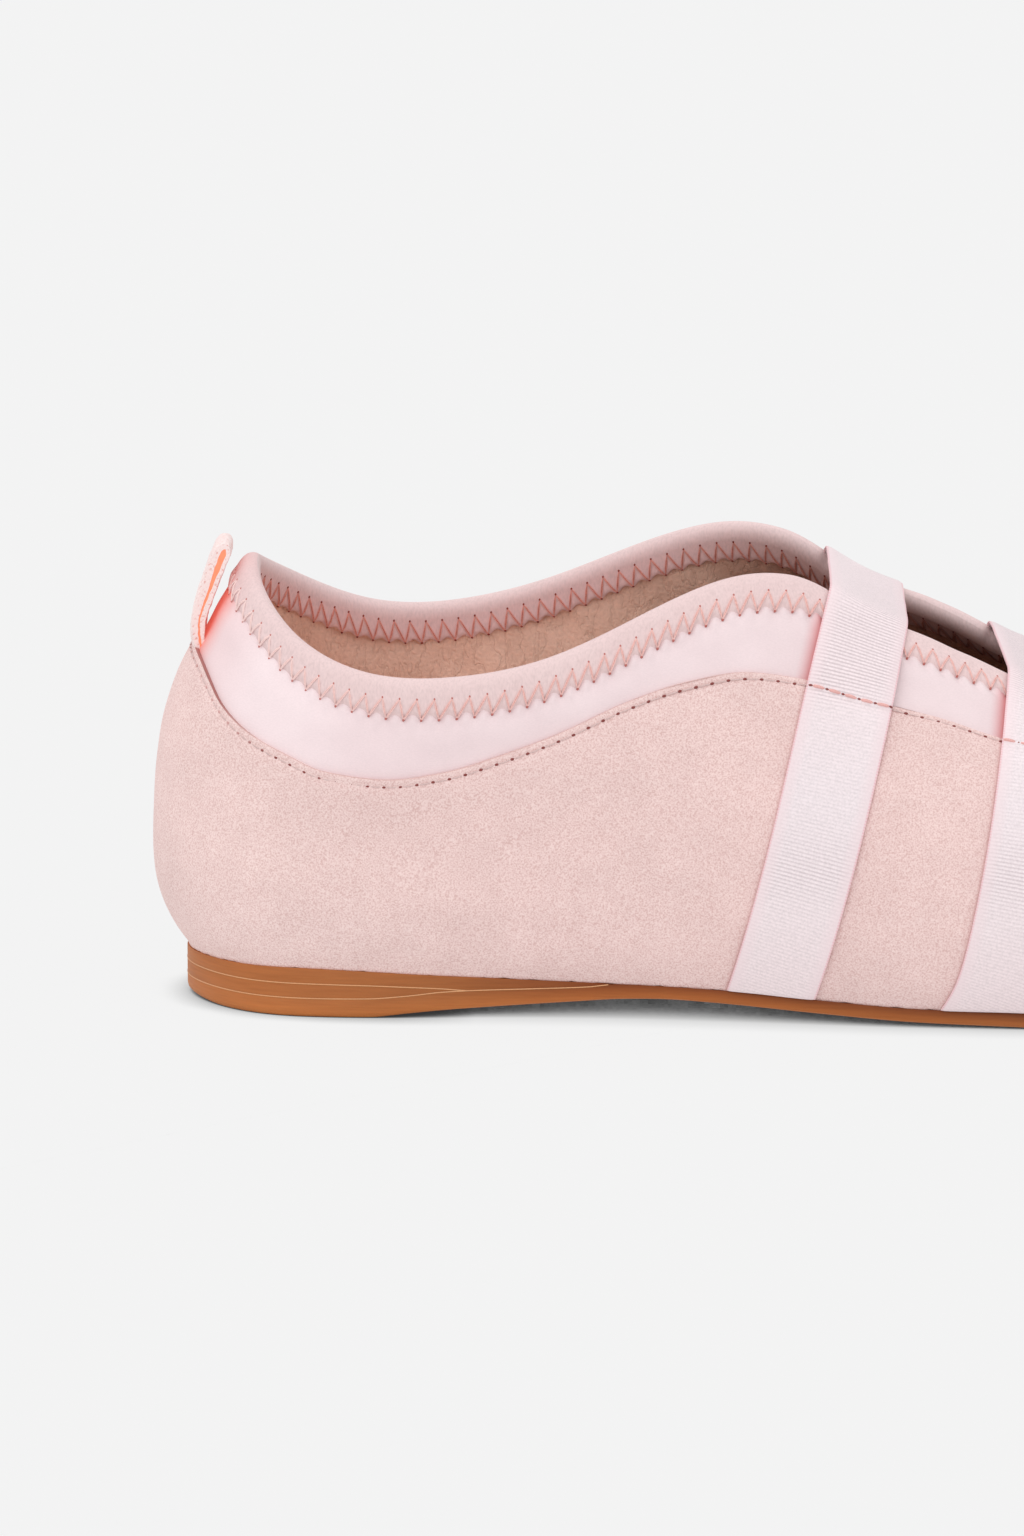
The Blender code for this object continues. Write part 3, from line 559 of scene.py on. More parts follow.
def tubes(name, paths, radius, finish, sides=6):
    """Short threads: each path is a list of points with the direction that faces out."""
    points = []
    faces = []
    turn = np.linspace(0.0, 2.0 * math.pi, sides, endpoint=False)
    for line, outward in paths:
        ahead = unit(np.gradient(line, axis=0))
        side = unit(np.cross(ahead, outward))
        upward = np.cross(side, ahead)
        first = len(points)
        taper = np.full(len(line), radius)
        taper[[0, -1]] *= 0.6
        for i in range(len(line)):
            for a in turn:
                points.append(line[i] + taper[i] * (math.cos(a) * side[i] + math.sin(a) * upward[i]))
        faces += sheet_faces(len(line), sides, False, True, first)
        faces += end_faces(first, first + (len(line) - 1) * sides, sides)
    return new_piece(name, points, faces, finish)


def dimples(name, spots, finish, sides=8):
    """Flat dark lozenges of painted shade in the needle holes: centre, outward, along, half length, half
    width.
    """
    points = []
    faces = []
    for centre, outward, along, length, width in spots:
        across = np.cross(outward, along)
        first = len(points)
        for level, share in ((-0.12, 1.0), (0.06, 0.55)):
            for k in range(sides):
                a = 2.0 * math.pi * k / sides
                points.append(centre + level * outward
                              + share * (length * math.cos(a) * along + width * math.sin(a) * across))
        faces += sheet_faces(2, sides, False, True, first)
        faces += end_faces(first + sides, first, sides)
    return new_piece(name, points, faces, finish)


def ribbon(name, grid, facing, thickness, runs, finish, replaced, thin_edge=0.25):
    """Closed woven band round a grid of middle points; u runs across it, v along it, in millimetres."""
    rows, columns = grid.shape[:2]
    across = np.linspace(-1.0, 1.0, columns)
    edge = np.sqrt(np.clip(1.0 - np.abs(across) ** 14, 0.0, 1.0))[None, :, None]
    half = 0.5 * thickness[:, :, None] * np.maximum(edge, thin_edge)
    shift = rows * columns
    faces = sheet_faces(rows, columns, False)
    faces += [tuple(reversed(face)) for face in sheet_faces(rows, columns, False, False, shift)]
    for k in (0, columns - 1):
        for i in range(rows - 1):
            a = i * columns + k
            loop = (a, a + shift, a + columns + shift, a + columns)
            faces.append(loop if k == 0 else tuple(reversed(loop)))
    for i in (0, rows - 1):
        for k in range(columns - 1):
            a = i * columns + k
            loop = (a, a + 1, a + 1 + shift, a + shift)
            faces.append(loop if i == 0 else tuple(reversed(loop)))
    middle = grid[:, columns // 2]
    ahead = unit(np.gradient(middle, axis=0))
    along = runs[:, None] + np.sum((grid - middle[:, None, :]) * ahead[:, None, :], axis=2)
    widths = np.broadcast_to(np.linspace(0.0, STRAP_WIDTH, columns), along.shape)
    places = np.tile(np.stack([widths, along], axis=2).reshape(-1, 2), (2, 1))
    points = np.vstack([(grid + way * half * facing).reshape(-1, 3) for way in (1.0, -1.0)])
    return new_piece(name, points, faces, finish, replaced, places[np.array(faces)])


# --- materials -------------------------------------------------------------------------------------------
def feed(tree, socket, value):
    """Link another node's output to a socket, or set the socket to a value."""
    if isinstance(value, bpy.types.NodeSocket):
        tree.links.new(value, socket)
    else:
        socket.default_value = value


def add(tree, kind, inputs=None, **settings):
    """Add a node with its settings; an input is a value or another node's output."""
    made = tree.nodes.new(kind)
    for name, value in settings.items():
        setattr(made, name, value)
    for socket, value in (inputs or {}).items():
        feed(tree, made.inputs[socket], value)
    return made


def start_material(name, **constants):
    """A material with its Principled shader, constants set on the shader's own sockets."""
    material = bpy.data.materials.new(name)
    material.use_nodes = True
    tree = material.node_tree
    shader = tree.nodes["Principled BSDF"]
    for socket, value in constants.items():
        shader.inputs[socket.replace("_", " ")].default_value = value
    return material, tree, shader


def dress(tree, shader, colour, relief=None, strength=0.0, depth=0.0):
    """Give the shader its colour and, where there is relief, a bump some millimetres deep."""
    tree.links.new(colour, shader.inputs["Base Color"])
    if relief is not None:
        bump = add(tree, "ShaderNodeBump", {"Height": relief, "Strength": strength, "Distance": depth * MM})
        tree.links.new(bump.outputs["Normal"], shader.inputs["Normal"])


def shade(colour, factor):
    """A colour made lighter or darker."""
    return tuple(min(1.0, c * factor) for c in colour[:3]) + (1.0,)


def object_noise(tree, size_mm, detail=2.0, stretch=(1.0, 1.0, 1.0)):
    """Noise whose grains are about size_mm apart, fixed to the shoe."""
    spot = add(tree, "ShaderNodeTexCoord")
    scaled = add(tree, "ShaderNodeMapping", {"Vector": spot.outputs["Object"], "Scale": stretch})
    return add(tree, "ShaderNodeTexNoise", {"Vector": scaled.outputs["Vector"], "Scale": 1.0 / (size_mm * MM),
                                            "Detail": detail}).outputs["Fac"]


def ramp(tree, fac, stops):
    """Colours at places from 0 to 1; one number stands for a grey."""
    made = add(tree, "ShaderNodeValToRGB", {"Fac": fac})
    band = made.color_ramp
    while len(band.elements) < len(stops):
        band.elements.new(0.5)
    for element, (place, colour) in zip(band.elements, stops):
        element.position = place
        element.color = ((colour,) * 3 if isinstance(colour, float) else tuple(colour[:3])) + (1.0,)
    return made.outputs["Color"]


def placed(tree, fac, low, high):
    """Value from 0 to 1 as another value goes from low to high."""
    return add(tree, "ShaderNodeMapRange", {"Value": fac, "From Min": low, "From Max": high},
               clamp=True).outputs["Result"]


def maths(tree, operation, first, second=0.0, third=0.0):
    """One sum or function of node outputs and numbers."""
    return add(tree, "ShaderNodeMath", {0: first, 1: second, 2: third}, operation=operation).outputs[0]


def blend(tree, factor, below, above, kind="MIX"):
    """Colour mixed from two colours or node outputs."""
    made = add(tree, "ShaderNodeMix", data_type="RGBA", blend_type=kind)
    for name, value in (("Factor", factor), ("A", below), ("B", above)):
        # the colour sockets carry the same names as the number sockets
        feed(tree, [s for s in made.inputs if s.name == name and s.enabled][0], value)
    return made.outputs[2]


def times(tree, first, *others):
    """Colours multiplied together."""
    for other in others:
        first = blend(tree, 1.0, first, other, "MULTIPLY")
    return first


def shoe_axes(tree):
    """Place on the shoe in metres from the back of the heel, by X, Y and Z."""
    spot = add(tree, "ShaderNodeTexCoord")
    moved = add(tree, "ShaderNodeVectorMath", {0: spot.outputs["Object"], 1: tuple(heel_shift())},
                operation="SUBTRACT")
    return add(tree, "ShaderNodeSeparateXYZ", {"Vector": moved.outputs["Vector"]}).outputs


def sheet_axes(tree):
    """Place on a piece's own sheet: X across a ribbon and Y along it, or Y across a ring piece."""
    uv = add(tree, "ShaderNodeUVMap", uv_map="UVMap")
    return add(tree, "ShaderNodeSeparateXYZ", {"Vector": uv.outputs["UV"]}).outputs


def beside_loop(tree, reach, top):
    """1 on the narrow back of the heel behind the pull loop, fading to 0 round the sides and upward."""
    axes = shoe_axes(tree)
    side = placed(tree, maths(tree, "ABSOLUTE", axes["Y"]), reach * MM, 0.4 * reach * MM)
    low = placed(tree, axes["Z"], top * MM, (top - 7.0) * MM)
    back = placed(tree, axes["X"], 22.0 * MM, 16.0 * MM)
    return maths(tree, "MULTIPLY", maths(tree, "MULTIPLY", side, low), back)


def warm_from_loop(tree, shader, colour, reach, top):
    """Painted reflected light and glow: the loop's warm inner face throws its colour on the cloth close
    behind it, drawn as a rosy tint, a salmon colour and a faint emission.
    """
    halo = beside_loop(tree, 1.7 * reach, top + 4.0)
    colour = blend(tree, maths(tree, "MULTIPLY", halo, 0.3), colour, linear("#E0A4A4"))
    near = maths(tree, "POWER", beside_loop(tree, reach, top), 1.4)
    shader.inputs["Emission Color"].default_value = linear("#F08272")
    tree.links.new(maths(tree, "MULTIPLY", near, 0.28), shader.inputs["Emission Strength"])
    return blend(tree, near, colour, linear("#E26C5A"))


def beside_straps(tree, width):
    """1 right behind each strap's rear edge, fading to 0 over a width."""
    axes = shoe_axes(tree)
    total = None
    for _, sole_x, lean, sway, _, _ in STRAPS:
        turn = maths(tree, "MULTIPLY", axes["Z"], 2.0 * math.pi / (STRAP_SWAY_RUN * MM))
        off = maths(tree, "SUBTRACT", axes["X"], maths(tree, "MULTIPLY", axes["Z"], lean))
        off = maths(tree, "MULTIPLY_ADD", maths(tree, "SINE", turn), -sway * MM, off)
        rear = sole_x - 0.5 * STRAP_WIDTH
        near = placed(tree, off, (rear - width) * MM, rear * MM)
        ahead = placed(tree, off, (sole_x + 3.0) * MM, sole_x * MM)
        near = maths(tree, "MULTIPLY", maths(tree, "POWER", near, 1.6), ahead)
        total = near if total is None else maths(tree, "MAXIMUM", total, near)
    return total


def toward_toe(tree, colour, start=74.0):
    """A colour that sinks into the shoe's own shade toward the toe, from `start` millimetres on."""
    depth = ramp(tree, placed(tree, shoe_axes(tree)["X"], start * MM, (start + 60.0) * MM),
                 [(0.0, 1.0), (0.35, (0.72, 0.7, 0.68)), (0.6, (0.42, 0.36, 0.34)),
                  (0.85, (0.26, 0.2, 0.18))])
    return times(tree, colour, depth)


def suede_material():
    """Brushed suede: short nap that lies in soft patches, so it reads matt with faint clouds."""
    base = colours().suede
    material, tree, shader = start_material(
        "brushed suede", Roughness=0.95, IOR=1.5, Sheen_Weight=0.12, Sheen_Roughness=0.5,
        Sheen_Tint=(1.0, 0.9, 0.88, 1.0), Specular_IOR_Level=0.1)
    strokes = object_noise(tree, 26.0, 3.0, (0.7, 1.0, 1.3))
    # the nap's fibres are far finer than this; drawn as the small tufts the eye picks up
    tufts = object_noise(tree, 0.28)
    patch = ramp(tree, strokes, [(0.32, shade(base, 0.955)), (0.5, base), (0.68, shade(base, 1.03))])
    cloud = ramp(tree, object_noise(tree, 5.0, 3.0), [(0.3, (0.975, 0.965, 0.965)), (0.7, 1.02)])
    grain = ramp(tree, tufts, [(0.34, (0.86, 0.78, 0.77)), (0.5, 1.0), (0.66, (1.08, 1.14, 1.14))])
    axes = shoe_axes(tree)
    # lighter and paler toward the low back of the heel, evening out further forward and up
    slope = placed(tree, maths(tree, "ADD", axes["X"], axes["Z"]), 10.0 * MM, 90.0 * MM)
    lighter_low_heel = ramp(tree, slope, [(0.1, (1.07, 1.1, 1.1)), (0.9, 1.0)])
    # painted shadow of the straps: darker rose just behind each strap's rear edge
    shaded = maths(tree, "MULTIPLY", beside_straps(tree, 0.7), 0.5)
    colour = blend(tree, shaded, times(tree, patch, cloud, grain, lighter_low_heel), linear("#D9A3A0"))
    dress(tree, shader, colour, tufts, 0.5, 0.2)
    return material


def satin_material():
    """Stretch satin: long floats over a knit back, a broad soft shine; painted rosy where it lies in the glow
    behind the pull loop and in the shade of the straps, and painted lighter toward the heel and darker toward
    the toe."""
    base = colours().satin
    material, tree, shader = start_material(
        "stretch satin", Roughness=0.5, IOR=1.5, Specular_IOR_Level=0.3, Sheen_Weight=0.06,
        Sheen_Roughness=0.3)
    weave = object_noise(tree, 0.4, 2.0, (1.0, 1.0, 2.2))
    tint = ramp(tree, weave, [(0.3, shade(base, 0.965)), (0.65, shade(base, 1.01))])
    # painted light and shade: lighter toward the heel, darker toward the toe
    along = ramp(tree, placed(tree, shoe_axes(tree)["X"], 20.0 * MM, 130.0 * MM),
                 [(0.05, (1.06, 1.08, 1.08)), (0.17, (1.0, 0.99, 0.99)), (0.45, 1.0),
                  (1.0, (0.96, 0.965, 0.965))])
    cloud = ramp(tree, object_noise(tree, 9.0), [(0.3, (0.98, 0.97, 0.972)), (0.7, 1.02)])
    colour = warm_from_loop(tree, shader, times(tree, tint, cloud, along), 12.0, 79.0)
    shaded = maths(tree, "MULTIPLY", beside_straps(tree, 2.6), 0.85)
    dress(tree, shader, blend(tree, shaded, colour, linear("#E08A8B")), weave, 0.15, 0.1)
    return material


def knit_material(name, base, glow=False, inner=None):
    """Brushed knit: a soft, slightly hairy face with fine upright wales; `inner` is a second colour painted
    down the inside of the collar, painted light that brightens the inner face, which sinks into painted shade
    toward the toe."""
    material, tree, shader = start_material(
        name, Roughness=0.92, IOR=1.5, Specular_IOR_Level=0.1, Sheen_Weight=0.15, Sheen_Roughness=0.45,
        Sheen_Tint=(1.0, 0.94, 0.94, 1.0))
    grain = object_noise(tree, 0.34, 2.0, (1.0, 1.0, 0.35))
    soft = ramp(tree, object_noise(tree, 7.0), [(0.3, (0.985, 0.975, 0.975)), (0.65, 1.0)])

    def knitted(yarn):
        stops = [(0.32, shade(yarn, 0.93)), (0.52, yarn), (0.7, shade(yarn, 1.04))]
        return times(tree, ramp(tree, grain, stops), soft)

    colour = knitted(base)
    if glow:
        colour = warm_from_loop(tree, shader, colour, 8.5, 77.5)
    if inner is not None:
        # painted light down the inside of the collar, sinking into painted shade toward the toe
        across = placed(tree, sheet_axes(tree)["Y"], 0.04, 0.34)
        colour = blend(tree, across, colour, toward_toe(tree, knitted(inner), 88.0))
    dress(tree, shader, colour, grain, 0.35, 0.15)
    return material


def elastic_material():
    """Woven elastic: fine ribs across that open where it is stretched over the collar and low on the
    side, a grainy face elsewhere, a slightly pinker selvedge with tiny edge stitches."""
    base = colours().elastic
    material, tree, shader = start_material(
        "woven elastic", Roughness=0.6, IOR=1.5, Specular_IOR_Level=0.25, Sheen_Weight=0.08,
        Sheen_Roughness=0.35)
    sheet = sheet_axes(tree)
    half = 0.5 * STRAP_WIDTH

    def waves(pitch):
        return maths(tree, "SINE", maths(tree, "MULTIPLY", sheet["Y"], 2.0 * math.pi / pitch))

    weave = placed(tree, waves(sizes().rib_pitch / MM), -1.0, 1.0)
    up = placed(tree, shoe_axes(tree)["Z"], 0.0, 80.0 * MM)
    opened = ramp(tree, up, [(0.0, 0.25), (0.25, 0.3), (0.34, 0.8), (0.46, 0.25), (0.68, 0.2), (0.74, 1.0),
                             (0.86, 0.85), (0.92, 0.12)])
    grains = object_noise(tree, 0.36)
    face = ramp(tree, grains, [(0.35, shade(base, 0.93)), (0.5, base), (0.65, shade(base, 1.05))])
    ribbed = ramp(tree, weave, [(0.1, (0.76, 0.73, 0.74)), (0.5, (0.98, 0.97, 0.97)), (0.9, 1.03)])
    off_middle = maths(tree, "ABSOLUTE", maths(tree, "SUBTRACT", sheet["X"], half))
    edge = placed(tree, off_middle, half - 2.6, half - 0.6)
    stitch = maths(tree, "MULTIPLY_ADD", placed(tree, waves(0.5), -0.6, 0.6), 0.5, 0.5)
    line = maths(tree, "MULTIPLY", placed(tree, off_middle, half - 0.4, half - 0.15), stitch)
    # painted light: tinted pinker by height, most near the sole and over the instep
    height = ramp(tree, up, [(0.0, (1.02, 0.96, 0.95)), (0.3, (1.0, 0.99, 0.985)), (0.5, 1.0),
                             (0.72, (1.0, 0.975, 0.97)), (1.0, (1.02, 0.99, 0.985))])
    body = times(tree, blend(tree, opened, face, times(tree, face, ribbed)), height)
    colour = blend(tree, maths(tree, "MULTIPLY", edge, 0.7), body, linear("#F3DEE1"))
    relief = maths(tree, "MULTIPLY_ADD", weave, opened, grains)
    dress(tree, shader, blend(tree, line, colour, linear("#EDC0C5")), relief, 0.4, 0.1)
    return material


def leather_material(name, base):
    """Lining leather: soft shine, fine pores and thin creases, with painted shade inside the forepart."""
    material, tree, shader = start_material(name, Roughness=0.55, IOR=1.5, Specular_IOR_Level=0.35)
    pores = object_noise(tree, 0.6, 3.0)
    creases = object_noise(tree, 3.4, 3.0, (1.5, 1.5, 0.6))
    tint = ramp(tree, object_noise(tree, 12.0, 3.0),
                [(0.3, shade(base, 0.93)), (0.6, base), (0.8, shade(base, 1.05))])
    fine = ramp(tree, pores, [(0.3, (0.92, 0.9, 0.89)), (0.55, 1.0), (0.75, (1.08, 1.07, 1.06))])
    off = maths(tree, "ABSOLUTE", maths(tree, "SUBTRACT", creases, 0.5))
    folded = placed(tree, off, 0.0, 0.03)
    thin = ramp(tree, folded, [(0.0, (0.92, 0.9, 0.89)), (1.0, 1.0)])
    relief = maths(tree, "MULTIPLY_ADD", folded, 0.5, maths(tree, "MULTIPLY_ADD", creases, 1.5, pores))
    # painted shade toward the toe
    dress(tree, shader, toward_toe(tree, times(tree, tint, fine, thin)), relief, 0.5, 0.4)
    return material


def gum_material(name, base):
    """Gum rubber: honey brown, painted more orange at the lower edge where light passes in, with painted
    shade toward the ball of the foot, and sanded lines along the side."""
    material, tree, shader = start_material(
        name, Roughness=0.5, IOR=1.52, Specular_IOR_Level=0.2, Subsurface_Weight=0.1,
        Subsurface_Scale=0.002, Subsurface_Radius=(1.0, 0.45, 0.2))
    axes = shoe_axes(tree)
    sanded = object_noise(tree, 0.7, 3.0, (0.08, 0.08, 1.6))
    # painted shade: darker toward the ball of the foot
    along = ramp(tree, placed(tree, axes["X"], 0.0, 160.0 * MM),
                 [(0.0, shade(base, 1.07)), (0.3, shade(base, 0.83)), (0.5, linear("#7E3D18")),
                  (1.0, linear("#622C10"))])
    # how high a place lies over the tread face, which rises under the arch and the toe
    longest, highest = SOLE_LINES[-1][0], SOLE_LINES[-1][UNDER]
    under = ramp(tree, placed(tree, axes["X"], 0.0, longest * MM),
                 [(row[0] / longest, row[UNDER] / highest) for row in SOLE_LINES])
    over = maths(tree, "MULTIPLY_ADD", under, -highest * MM, axes["Z"])
    # painted light: more orange low on the side, where light passes into the rubber
    lift = maths(tree, "MULTIPLY", placed(tree, over, 2.7 * MM, 0.2 * MM), 0.64)
    lines = ramp(tree, sanded, [(0.3, (0.92, 0.9, 0.88)), (0.5, 1.0), (0.75, (1.08, 1.07, 1.06))])
    soft = ramp(tree, object_noise(tree, 14.0), [(0.3, (0.95, 0.94, 0.93)), (0.7, 1.0)])
    colour = times(tree, blend(tree, lift, along, linear("#CF7C40")), lines, soft)
    dress(tree, shader, colour, sanded, 0.2, 0.1)
    return material


def thread_material(name, base, deep=False, cloth=None, fade=(0.0, 0.0, 0.0)):
    """Twisted polyester thread: a soft shine with the twist's fine dark lines; `deep` sinks it into painted
    shade toward the toe. `cloth` is a colour painted over it toward the heel, and `fade` gives the x where
    that starts, the x where it is full, and by how much: it makes the outer zigzag paler there, painted
    light, fades the needle-hole shade out, and turns the suede's cut edge dark rose, a painted shadow line."""
    material, tree, shader = start_material(name, Roughness=0.5, IOR=1.5, Specular_IOR_Level=0.4)
    colour = ramp(tree, object_noise(tree, 0.25, 1.0), [(0.35, shade(base, 0.88)), (0.6, base)])
    if deep:
        colour = toward_toe(tree, colour, 84.0)
    if cloth is not None:
        heel_paint = placed(tree, shoe_axes(tree)["X"], fade[0] * MM, fade[1] * MM)
        colour = blend(tree, maths(tree, "MULTIPLY", heel_paint, fade[2]), colour, cloth)
    dress(tree, shader, colour)
    return material


def tape_material(name, base):
    """Folded cotton tape: matt and a little hairy, with small pink flecks from its binding yarn."""
    material, tree, shader = start_material(name, Roughness=0.9, IOR=1.5, Specular_IOR_Level=0.12,
                                            Sheen_Weight=0.2, Sheen_Roughness=0.4)
    flecks = object_noise(tree, 0.5, 1.5)
    tint = ramp(tree, flecks, [(0.3, linear("#EFB9B1")), (0.42, base), (0.7, shade(base, 1.03))])
    dress(tree, shader, tint, flecks, 0.5, 0.25)
    return material


# --- pieces -----------------------------------------------------------------------------------------------
def on_seat(outline, lift):
    """A level outline laid on the upper's seat and lifted."""
    return np.column_stack([outline, sole_line(SEAT, outline[:, 0]) + lift])


def zigzag_wave(run, pitch):
    """1 at the lower needle holes of the zigzag, -1 half way between them."""
    return np.cos(2.0 * math.pi * run / pitch)


def fitted_pitch(length, pitch):
    """The pitch nearest the asked one that divides the length evenly."""
    return length / round(length / pitch)


def collar_skin():
    """The outer surface at even places round the collar, with the zigzag's wave and how hard it pulls:
    half as much where the collar turns round the heel as further on."""
    at, length = crest_places(COLLAR_STATIONS)
    skin = Skin(at)
    pitch = fitted_pitch(length, sizes().zigzag_pitch / MM)
    wave = zigzag_wave(length * np.arange(COLLAR_STATIONS) / COLLAR_STATIONS, pitch)
    return skin, wave, 0.5 + 0.5 * np.clip((skin.points[:, -1, 0] - 18.0) / 26.0, 0.0, 1.0)


class SNEAKER_OT_suede(bpy.types.Operator):
    """Suede panel: cut edge, a groove along the topstitch and faint waves from lasting"""

    bl_idname = "sneaker.suede"
    bl_label = "Suede panel"

    def execute(self, context):
        skin = skin_round(SUEDE_STATIONS)
        panel = skin.panel_rises()
        inset = sizes().topstitch_inset / MM
        turned = on_seat(foot_outline(3.0, SUEDE_STATIONS), 0.1)
        outline = foot_outline(-0.12, SUEDE_STATIONS)
        ragged = 0.1 * ripple(np.column_stack([outline, np.zeros(len(outline))]), 3.1, 61)
        resting = on_seat(outline, 0.03 + ragged)
        rings = []
        edges = []
        for j in range(len(skin.at)):
            rises = np.concatenate([np.linspace(0.0, panel[j] - 3.5, sizes().rows),
                                    np.linspace(panel[j] - 3.2, panel[j] - 0.1, 16)])
            flat = skin.line(j, rises, 0.0)[0]
            # faint waves that fade toward the sole, a groove along the stitches, an edge pressed in
            relief = 0.10 * ripple(flat, 26.0, 3) + 0.04 * ripple(flat, 9.0, 5)
            relief *= np.clip(rises / 6.0, 0.0, 1.0)
            relief -= 0.17 * bell(rises - (panel[j] - inset), 0.55) + 0.12 * bell(rises - panel[j], 0.5)
            body = skin.line(j, rises, relief)[0]
            body[0] = resting[j]
            rings.append(np.vstack([turned[j], body]))
            edges.append(skin.line(j, panel[j] + CUT_EDGE[:, 0], CUT_EDGE[:, 1])[0])
        ring_piece("suede_panel", rings, suede_material(), ("upper",), sharp=60.0)
        # the cut edge is painted darker than the suede, painted shade on its step, and dark rose toward the
        # heel, a painted shadow line beside the satin
        cut = thread_material("suede cut edge", linear("#E2BFB9"), cloth=linear("#A25A55"),
                              fade=(19.0, 12.0, 0.85))
        ring_piece("suede_cut_edge", edges, cut, sharp=60.0)
        return {"FINISHED"}


class SNEAKER_OT_satin(bpy.types.Operator):
    """Satin panel between the suede and the binding, gathered where the zigzag pulls it"""

    bl_idname = "sneaker.satin"
    bl_label = "Satin panel"

    def execute(self, context):
        skin, waves, pull = collar_skin()
        panel = skin.panel_rises()
        rings = []
        for j, wave in enumerate(pull ** 2 * waves):
            low_edge = skin.length[j] - BAND_DEPTH
            rises = np.linspace(panel[j] - 1.2, low_edge + 1.6, 26)
            down = low_edge - rises
            # pinched at the needle holes, with folds and a soft roll under the binding
            gather = 0.1 * bell(down - 0.5, 1.0) - 0.3 * wave * bell(down - 0.3, 1.3)
            folds = 0.16 * ripple(skin.line(j, rises, 0.0)[0], 11.0, 11) * bell(down - 3.0, 5.0)
            relief = -SUEDE + gather + folds + 0.35 * bell(down - 3.2, 3.0) - 0.1
            rings.append(skin.line(j, rises, relief)[0])
        ring_piece("satin_panel", rings, satin_material(), ("upper",))
        return {"FINISHED"}


class SNEAKER_OT_lining(bpy.types.Operator):
    """Leather lining with shallow creases, from the binding down to the insole"""

    bl_idname = "sneaker.lining"
    bl_label = "Lining"

    def execute(self, context):
        skin = skin_round(LINING_STATIONS)
        floor = on_seat(foot_outline(6.0, LINING_STATIONS), GAP + MARGIN_SKIN)
        rings = []
        for j in range(len(skin.at)):
            rises = np.linspace(skin.length[j] - BAND_DEPTH + 1.5, 3.2, 56)
            flat = skin.line(j, rises, 0.0)[0]
            relief = 0.16 * ripple(flat, 10.0, 21) - 0.22 * np.abs(ripple(flat * (1.0, 1.0, 0.35), 7.0, 23))
            body = skin.line(j, rises, -SUEDE - WALL + 0.1 + np.clip(relief, -0.5, 0.2))[0]
            rings.append(np.vstack([body, floor[j]]))
        leather = leather_material("lining leather", colours().lining)
        ring_piece("lining", rings, leather, ("upper",))
        return {"FINISHED"}


def binding_edge(wave):
    """How far under the crest the binding's scalloped edge lies."""
    return BAND_DEPTH + 0.5 * sizes().scallop / MM * wave


def inner_face(down, wave):
    """How far out the binding's inner face lies, pulled in by the zigzag."""
    return (-BAND_WIDTH + 0.16 * wave * bell(down - BAND_DEPTH, 1.3)
            + 0.3 * bell(down - binding_edge(wave), 0.6))


def strap_cover(x, y, z, fade=0.5, inset=0.0):
    """Share of a strap's cover over a point seen from the side: 1 under a strap, 0 beside it."""
    cover = 0.0
    for strap in STRAPS:
        off = abs(x - strap_middle(strap, y, z)) + inset
        cover = max(cover, min(1.0, max(0.0, (0.5 * STRAP_WIDTH + 0.5 * fade - off) / fade)))
    return cover * cover * (3.0 - 2.0 * cover)


class SNEAKER_OT_binding(bpy.types.Operator):
    """Binding folded over the collar edge, scalloped and quilted by the zigzag"""

    bl_idname = "sneaker.binding"
    bl_label = "Collar binding"

    def execute(self, context):
        skin, waves, pull = collar_skin()
        upper_holes = BAND_DEPTH - sizes().zigzag_height / MM
        over = [(down, -out - BAND_WIDTH) for down, out in reversed(CROWN)]
        outer_rings = []
        inner_rings = []
        for j, wave in enumerate(pull * waves):
            edge = binding_edge(wave)
            low = edge - 0.15
            dent = 0.6 * strap_cover(*skin.points[j, -1], 1.6, 0.8)

            def across(profile):
                return skin.line(j, skin.length[j] - profile[:, 0], profile[:, 1])[0]

            # outside: the scalloped edge, the quilted face and the crown, dented under the straps
            down = edge + (FACE_TOP - edge) * np.linspace(0.04, 1.0, 14) ** 1.2
            quilt = wave * (0.1 * bell(down - upper_holes, 1.0) - 0.16 * bell(down - BAND_DEPTH, 1.3))
            face = np.column_stack([down, quilt - 0.8 * bell(down - edge, 0.9)])
            profile = np.vstack([[(low, -1.15), (edge, -0.95)], face, CROWN, over[:1]])
            pressed = dent * bell(profile[:, 0], 3.2)
            profile[:, 0] += pressed * (profile[:, 1] < -0.3)
            profile[:, 1] -= pressed * (profile[:, 1] > -1.0)
            outer_rings.append(across(profile))

            # inside: over the crown and down to the same edge
            down = FACE_TOP + (edge - FACE_TOP) * np.linspace(0.0, 0.96, 12)
            profile = np.vstack([over, np.column_stack([down, inner_face(down, wave)]),
                                 [(edge, 0.5 - BAND_WIDTH), (low, 0.75 - BAND_WIDTH)]])
            profile[:, 0] += dent * bell(profile[:, 0], 3.2)
            inner_rings.append(across(profile))
        knit = knit_material("brushed knit", colours().binding, glow=True)
        ring_piece("binding_outside", outer_rings, knit, ("collar_binding",))
        # the inner face carries painted light, and painted shade toward the toe
        painted_inner_knit = knit_material("brushed knit, inner face", colours().binding, inner=linear("#F4D2D2"))
        ring_piece("binding_inside", inner_rings, painted_inner_knit, ("collar_binding",))
        return {"FINISHED"}


